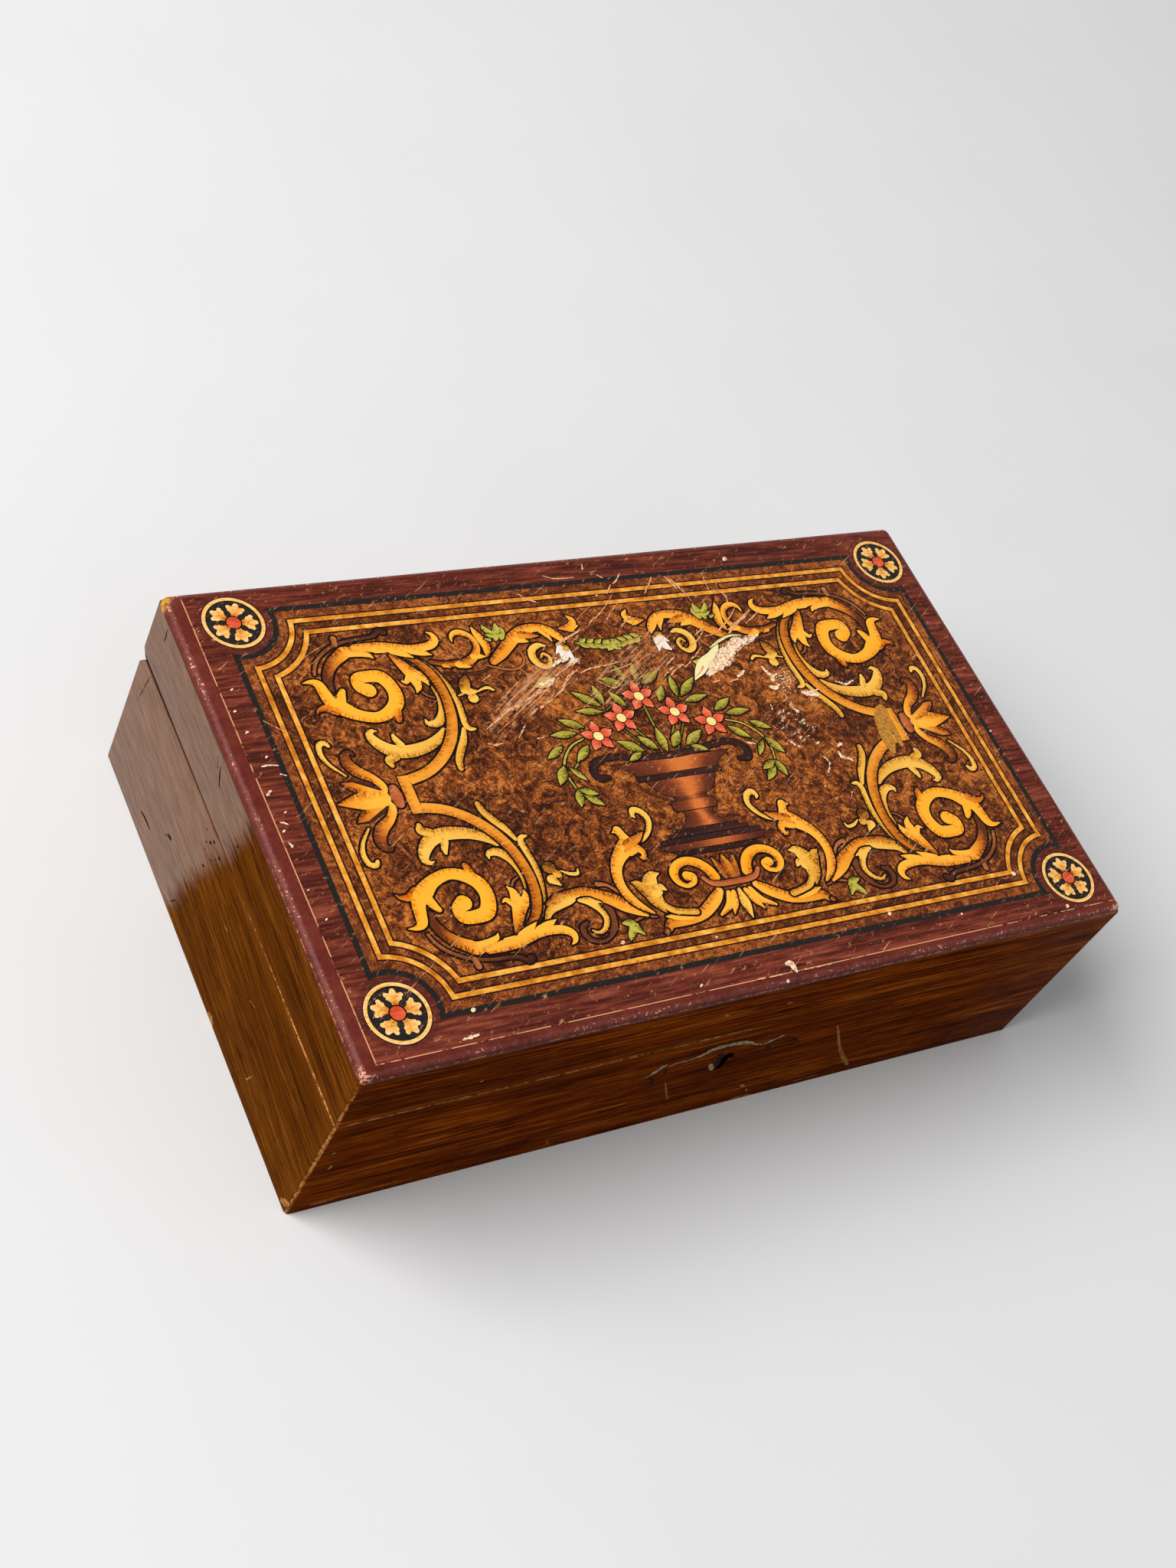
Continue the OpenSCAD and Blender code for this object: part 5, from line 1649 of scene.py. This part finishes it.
lay_strokes("scratches", scratch_finish, [
    stroke((-50.7, 18.8, 0.4), (-47.5, 20.5, 0.8), (-44.5, 22.3, 1.0), (-41.4, 24.2, 1.4),
           (-38.4, 24.8, 1.6), tone=(0.25, 0.1)),
    stroke((-39.0, 23.8, 1.0), (-35.3, 26.3, 2.0), (-32.3, 27.7, 2.6), (-28.9, 29.0, 1.8),
           (-26.6, 28.6, 1.0), tone=-0.12),
    stroke((-35.7, 21.2, 0.8), (-33.3, 22.9, 1.6), (-30.2, 24.1, 1.8), (-26.8, 25.6, 1.4),
           tone=(-0.12, -0.1)),
    stroke((-25.2, 26.6, 0.6), (-22.5, 28.4, 1.4), (-20.1, 30.7, 1.6), (-17.7, 33.0, 2.2),
           (-14.7, 34.8, 2.2), tone=(0.02, -0.15)),
    stroke((-21.8, 33.7, 0.8), (-18.1, 35.6, 1.4), (-13.1, 38.1, 1.6), (-9.6, 39.9, 1.2),
           tone=(-0.15, -0.2)),
    stroke((-42.4, 14.4, 0.4), (-40.8, 16.3, 0.6), (-38.9, 18.1, 0.4), tone=0.1),
    stroke((-16.4, 44.6, 0.6), (-13.7, 46.0, 0.9), (-10.5, 47.3, 0.8), (-6.7, 48.9, 0.5),
           tone=(0.45, 0.2)),
    stroke((-13.2, 33.8, 0.3), (-9.6, 34.9, 0.6), (-4.9, 35.3, 0.5), (0.8, 36.0, 0.4),
           tone=(0.3, 0.1)),
    stroke((-4.5, 32.9, 0.3), (0.4, 33.9, 0.5), (4.3, 34.8, 0.3), tone=0.2),
    stroke((-9.1, 30.2, 0.4), (-5.4, 27.2, 0.7), (-2.8, 28.0, 0.6), (0.4, 30.5, 0.4), tone=0.05),
    stroke((-21.0, 64.5, 0.3), (-19.0, 62.2, 0.5), (-16.5, 60.8, 0.5), tone=0.3),
    stroke((31.5, 65.7, 0.4), (32.9, 62.7, 0.9), (33.5, 60.9, 0.6), tone=(0.35, 0.3)),
    stroke((33.1, 64.5, 0.4), (34.3, 61.5, 0.6), (35.5, 59.1, 0.6), tone=0.35),
    stroke((35.9, 58.5, 0.6), (36.3, 55.4, 0.4), tone=0.0),
    stroke((45.5, 65.7, 0.4), (44.9, 62.6, 0.5), (44.6, 59.5, 0.8), tone=(0.05, 0.1)),
    stroke((49.2, 62.4, 0.4), (48.0, 59.2, 0.4), (49.4, 56.1, 1.0), (48.9, 53.7, 0.8),
           tone=(-0.05, 0.0)),
    stroke((21.7, 60.2, 0.4), (24.2, 62.8, 0.5), (26.8, 65.9, 0.3), tone=0.2),
    stroke((34.7, 41.8, 0.4), (38.8, 42.6, 0.5), (43.2, 45.3, 0.6), (46.9, 48.0, 0.4),
           (50.9, 51.7, 0.3), tone=(0.2, 0.15)),
    stroke((43.5, 42.0, 0.5), (46.9, 44.5, 0.8), (50.9, 47.2, 0.7), (55.2, 49.7, 0.3),
           tone=(0.35, 0.2)),
    stroke((45.3, 45.1, 0.4), (49.9, 46.2, 0.5), (54.0, 48.4, 0.4), tone=0.1),
    stroke((51.4, 45.0, 0.3), (55.0, 47.0, 0.5), (58.7, 49.3, 0.3), tone=0.1),
    stroke((28.2, 39.3, 0.4), (32.3, 41.5, 0.6), (35.9, 45.2, 0.3), tone=0.1),
    stroke((31.0, 42.5, 0.3), (33.5, 43.8, 0.6), (35.7, 45.2, 0.4), tone=(0.2, 0.1)),
    stroke((16.1, 33.1, 0.8), (18.1, 34.3, 1.4), (20.5, 36.1, 1.0), tone=(0.0, -0.05)),
    stroke((15.9, 29.2, 0.8), (18.5, 31.0, 1.2), (21.2, 32.5, 1.2), (22.0, 31.7, 0.8),
           tone=(0.05, 0.0)),
    stroke((13.1, 28.5, 0.5), (15.1, 30.4, 1.0), (17.9, 32.0, 0.8), tone=0.0),
    stroke((22.2, 31.5, 0.8), (25.6, 33.9, 1.2), (28.7, 36.0, 1.2), (31.1, 37.9, 0.8), tone=-0.1),
    stroke((24.1, 27.8, 0.6), (26.3, 29.1, 0.9), (28.1, 30.9, 0.6), tone=0.0),
    stroke((28.8, 24.9, 0.8), (31.0, 25.2, 0.7), tone=0.1),
    stroke((34.5, 24.3, 0.7), (37.5, 24.9, 0.7), tone=0.2),
    stroke((-0.4, 51.8, 0.3), (2.5, 54.1, 0.5), (6.5, 57.2, 0.4), (9.9, 60.5, 0.3), tone=0.1),
    stroke((4.1, 51.7, 0.3), (7.5, 55.0, 0.5), (11.2, 57.8, 0.4), tone=(0.1, 0.0)),
    stroke((-3.0, 50.2, 0.4), (-0.8, 52.2, 0.6), (1.4, 53.5, 0.4), tone=(0.2, 0.0)),
    stroke((7.2, 48.0, 0.4), (9.8, 50.3, 0.8), (12.4, 51.9, 0.6), tone=0.05),
    stroke((8.7, 61.5, 0.4), (11.3, 64.3, 0.5), tone=0.2),
    stroke((-52.3, 13.7, 1.0), (-50.3, 13.1, 1.6), (-48.1, 13.2, 0.8), tone=0.0),
    stroke((-45.0, 35.2, 0.8), (-42.4, 36.4, 0.8), tone=0.0),
    stroke((-36.9, 13.3, 0.6), (-35.0, 13.5, 0.6), tone=0.0),
    stroke((-113.5, 30.3, 0.3), (-109.2, 26.3, 0.4), tone=0.0),
    stroke((-7.0, -72.4, 0.4), (-4.4, -72.3, 0.5), tone=0.3),
    stroke((-2.7, -72.4, 0.4), (1.1, -72.4, 0.5), tone=0.2),
    stroke((9.1, -72.3, 0.4), (11.7, -72.4, 0.5), tone=0.3),
    stroke((13.1, -72.4, 0.4), (18.0, -72.3, 0.5), tone=0.2),
    stroke((-98.0, 46.7, 0.3), (-93.5, 50.2, 0.4), (-87.5, 52.9, 0.3), tone=-0.1),
    stroke((4.7, 71.4, 0.6), (5.3, 73.2, 0.4), tone=0.3),
    stroke((8.6, 68.6, 0.5), (9.9, 67.4, 0.4), tone=0.2),
    stroke((12.5, 64.8, 0.4), (14.2, 66.0, 0.6), (16.4, 68.3, 0.4), tone=(0.2, 0.1)),
    stroke((-9.7, 70.1, 0.4), (-6.2, 68.7, 0.6), (0.1, 68.5, 0.4), tone=(0.1, 0.2)),
], "", 0.19, grow=0.04)
lay_strokes("smear", smear_finish, [
    stroke((77.9, -8.1, 2.0), (78.5, -4.7, 4.1), (79.2, -0.6, 4.9), (80.8, 3.5, 5.7),
           (82.4, 7.0, 4.1), tone=0.35),
    stroke((82.3, -6.3, 1.6), (82.7, -1.6, 2.6), (83.1, 2.5, 2.0), tone=0.1),
], "", 0.18)

# The marks on the walls.
# The scuffed outline of the lost keyhole plate, and the knocks, pits and scratches that have gone
# through the varnish of the front and the left side.

wall_scuff = wear_finish("scuffed_varnish", (96, 74, 48), (190, 164, 128))
wall_scratch = wear_finish("scratched_varnish", (112, 66, 26), (172, 116, 60), 0.10)
wall_pit = wear_finish("pitted_wood", (16, 8, 5), (34, 18, 11))
lay_strokes("plate_outline_scuffs", wall_scuff, [
    stroke((-26.6, 31.9, 1.0), (-24.6, 34.8, 2.4), (-23.2, 37.2, 1.4), tone=0.25),
    stroke((-20.6, 35.6, 0.8), (-18.4, 36.8, 1.0), (-15.0, 36.6, 0.8), (-11.4, 38.0, 1.4),
           tone=(0.15, 0.2)),
    stroke((-11.6, 37.6, 1.6), (-8.4, 39.9, 2.4), (-3.6, 40.4, 2.0), (1.8, 39.6, 2.2),
           (5.6, 38.0, 1.4), tone=0.35),
    stroke((5.4, 38.0, 1.2), (9.4, 35.6, 0.8), (12.6, 36.0, 1.8), (16.4, 38.0, 1.4),
           tone=(0.1, 0.2)),
    stroke((-4.4, 29.8, 1.4), (-3.2, 27.6, 1.8), (-2.4, 26.2, 0.8), tone=0.6),
    stroke((-14.6, 60.4, 1.4), (-13.4, 60.0, 1.0), tone=0.1),
    stroke((7.2, 59.0, 1.0), (8.4, 58.8, 1.2), tone=0.1),
    stroke((16.6, 9.2, 1.0), (17.6, 8.6, 1.2), tone=0.5),
    stroke((20.4, 5.4, 0.7), (20.8, 4.2, 0.6), tone=0.4),
    stroke((-119.4, 23.4, 0.6), (-119.0, 24.6, 0.8), tone=0.5),
    *flecks((-120.8, 32.4, 0.7, 0.5), (-87.0, 55.0, 0.5, 0.4)),
], "", 0.02, wall="front", body="base")
lay_strokes("front_scratches", wall_scratch, [
    stroke((37.2, 35.6, 0.4), (42.0, 27.6, 0.8), (47.6, 18.6, 1.0), (54.0, 10.0, 1.6),
           (58.4, 4.6, 1.0), tone=(0.1, 0.05)),
    stroke((-17.2, 24.6, 0.5), (-14.4, 19.0, 0.9), (-11.4, 13.6, 0.6), tone=-0.1),
    stroke((-118.2, 2.7, 0.6), (-115.0, 2.5, 1.0), (-111.0, 2.8, 0.5), tone=0.3),
    stroke((-109.6, 3.2, 0.4), (-106.0, 3.4, 0.4), tone=0.2),
    stroke((-98.4, 3.4, 0.5), (-94.0, 3.6, 0.5), tone=0.3),
    stroke((-47.4, 4.4, 0.4), (-46.8, 3.2, 0.5), tone=0.3),
    stroke((17.4, 1.0, 0.8), (23.6, 1.2, 0.8), tone=0.1),
    stroke((39.4, 2.4, 0.4), (48.0, 2.6, 0.5), tone=-0.1),
], "", 0.02, grow=0.15, wall="front", body="base")
lay_strokes("front_pits", wall_pit, [
    stroke((-23.8, 38.6, 0.7), (-23.4, 37.6, 0.8), tone=0.5),
    stroke((-24.2, 30.0, 0.8), (-23.4, 28.2, 1.4), (-22.4, 26.0, 0.7), tone=0.6),
    stroke((-21.4, 33.6, 1.2), (-20.8, 32.0, 1.0), tone=0.6),
    stroke((13.4, 33.4, 1.0), (14.4, 32.2, 1.3), tone=0.6),
    stroke((-11.6, 41.0, 0.5), (-7.4, 42.0, 0.7), (-2.4, 42.2, 0.7), (2.0, 41.4, 0.5), tone=0.4),
    stroke((-4.2, 35.6, 1.6), (-3.0, 34.0, 2.4), (-2.6, 31.4, 1.4), (-1.6, 28.0, 1.0),
           tone=(0.6, 0.5)),
    stroke((10.0, 34.2, 0.4), (13.0, 34.8, 0.6), (17.4, 36.4, 0.4), tone=0.3),
    stroke((-20.0, 34.9, 0.4), (-15.0, 35.6, 0.5), (-11.6, 36.4, 0.4), tone=0.2),
], "", 0.03, wall="front", body="base")
lay_strokes("left_side_pits", wall_pit, [
    stroke((-32.4, 19.4, 0.8), (-31.0, 19.8, 1.4), tone=0.6),
    stroke((-34.0, 17.6, 0.3), (-32.6, 18.6, 0.4), tone=0.3),
    *flecks((-13.8, 42.4, 1.1, 0.4), (-12.4, 44.6, 1.0, 0.4), (-7.8, 43.8, 1.1, 0.4),
            (-12.9, 33.0, 0.9, 0.4), (-15.6, 40.2, 0.6, 0.3), (-9.0, 41.6, 0.6, 0.3),
            (-14.8, 38.0, 0.7, 0.2), (-17.4, 43.6, 0.6, 0.2), (-10.6, 38.8, 0.6, 0.2)),
    stroke((-48.6, 8.0, 0.4), (-45.8, 8.8, 1.0), (-41.6, 9.2, 0.5), tone=(0.4, 0.3)),
    stroke((-20.4, 4.4, 0.4), (-18.4, 7.8, 0.6), tone=0.2),
    stroke((-68.6, 33.0, 0.4), (-66.8, 44.0, 0.8), (-66.4, 46.4, 0.5), tone=0.0),
], "", 0.02, wall="left", body="base")
lay_strokes("left_side_lid_pits", wall_pit, [
    stroke((-21.8, 65.2, 0.5), (-20.8, 62.6, 0.9), (-19.2, 60.0, 0.5), tone=0.3),
    stroke((-65.8, 66.6, 0.5), (-65.4, 63.0, 0.7), tone=0.3),
    *flecks((-2.6, 56.6, 0.8, 0.4), (0.8, 59.0, 0.8, 0.3)),
    stroke((-24.4, 66.0, 0.4), (-22.8, 63.4, 0.5), tone=0.1),
], "", 0.02, wall="left", body="lid")
lay_strokes("left_side_scratches", wall_scratch, [
    stroke((39.2, 8.8, 0.5), (40.8, 13.2, 0.4), tone=(0.5, 0.3)),
    stroke((5.6, 31.8, 0.4), (7.6, 32.2, 0.5), tone=0.4),
    stroke((14.2, 1.2, 1.0), (16.0, 1.6, 2.4), (17.6, 1.0, 1.2), tone=0.5),
    stroke((71.4, 1.8, 1.2), (73.2, 3.6, 2.4), (74.4, 5.4, 1.2), tone=0.5),
    stroke((27.0, 29.0, 0.3), (30.0, 30.6, 0.4), tone=0.0),
], "", 0.02, wall="left", body="base")
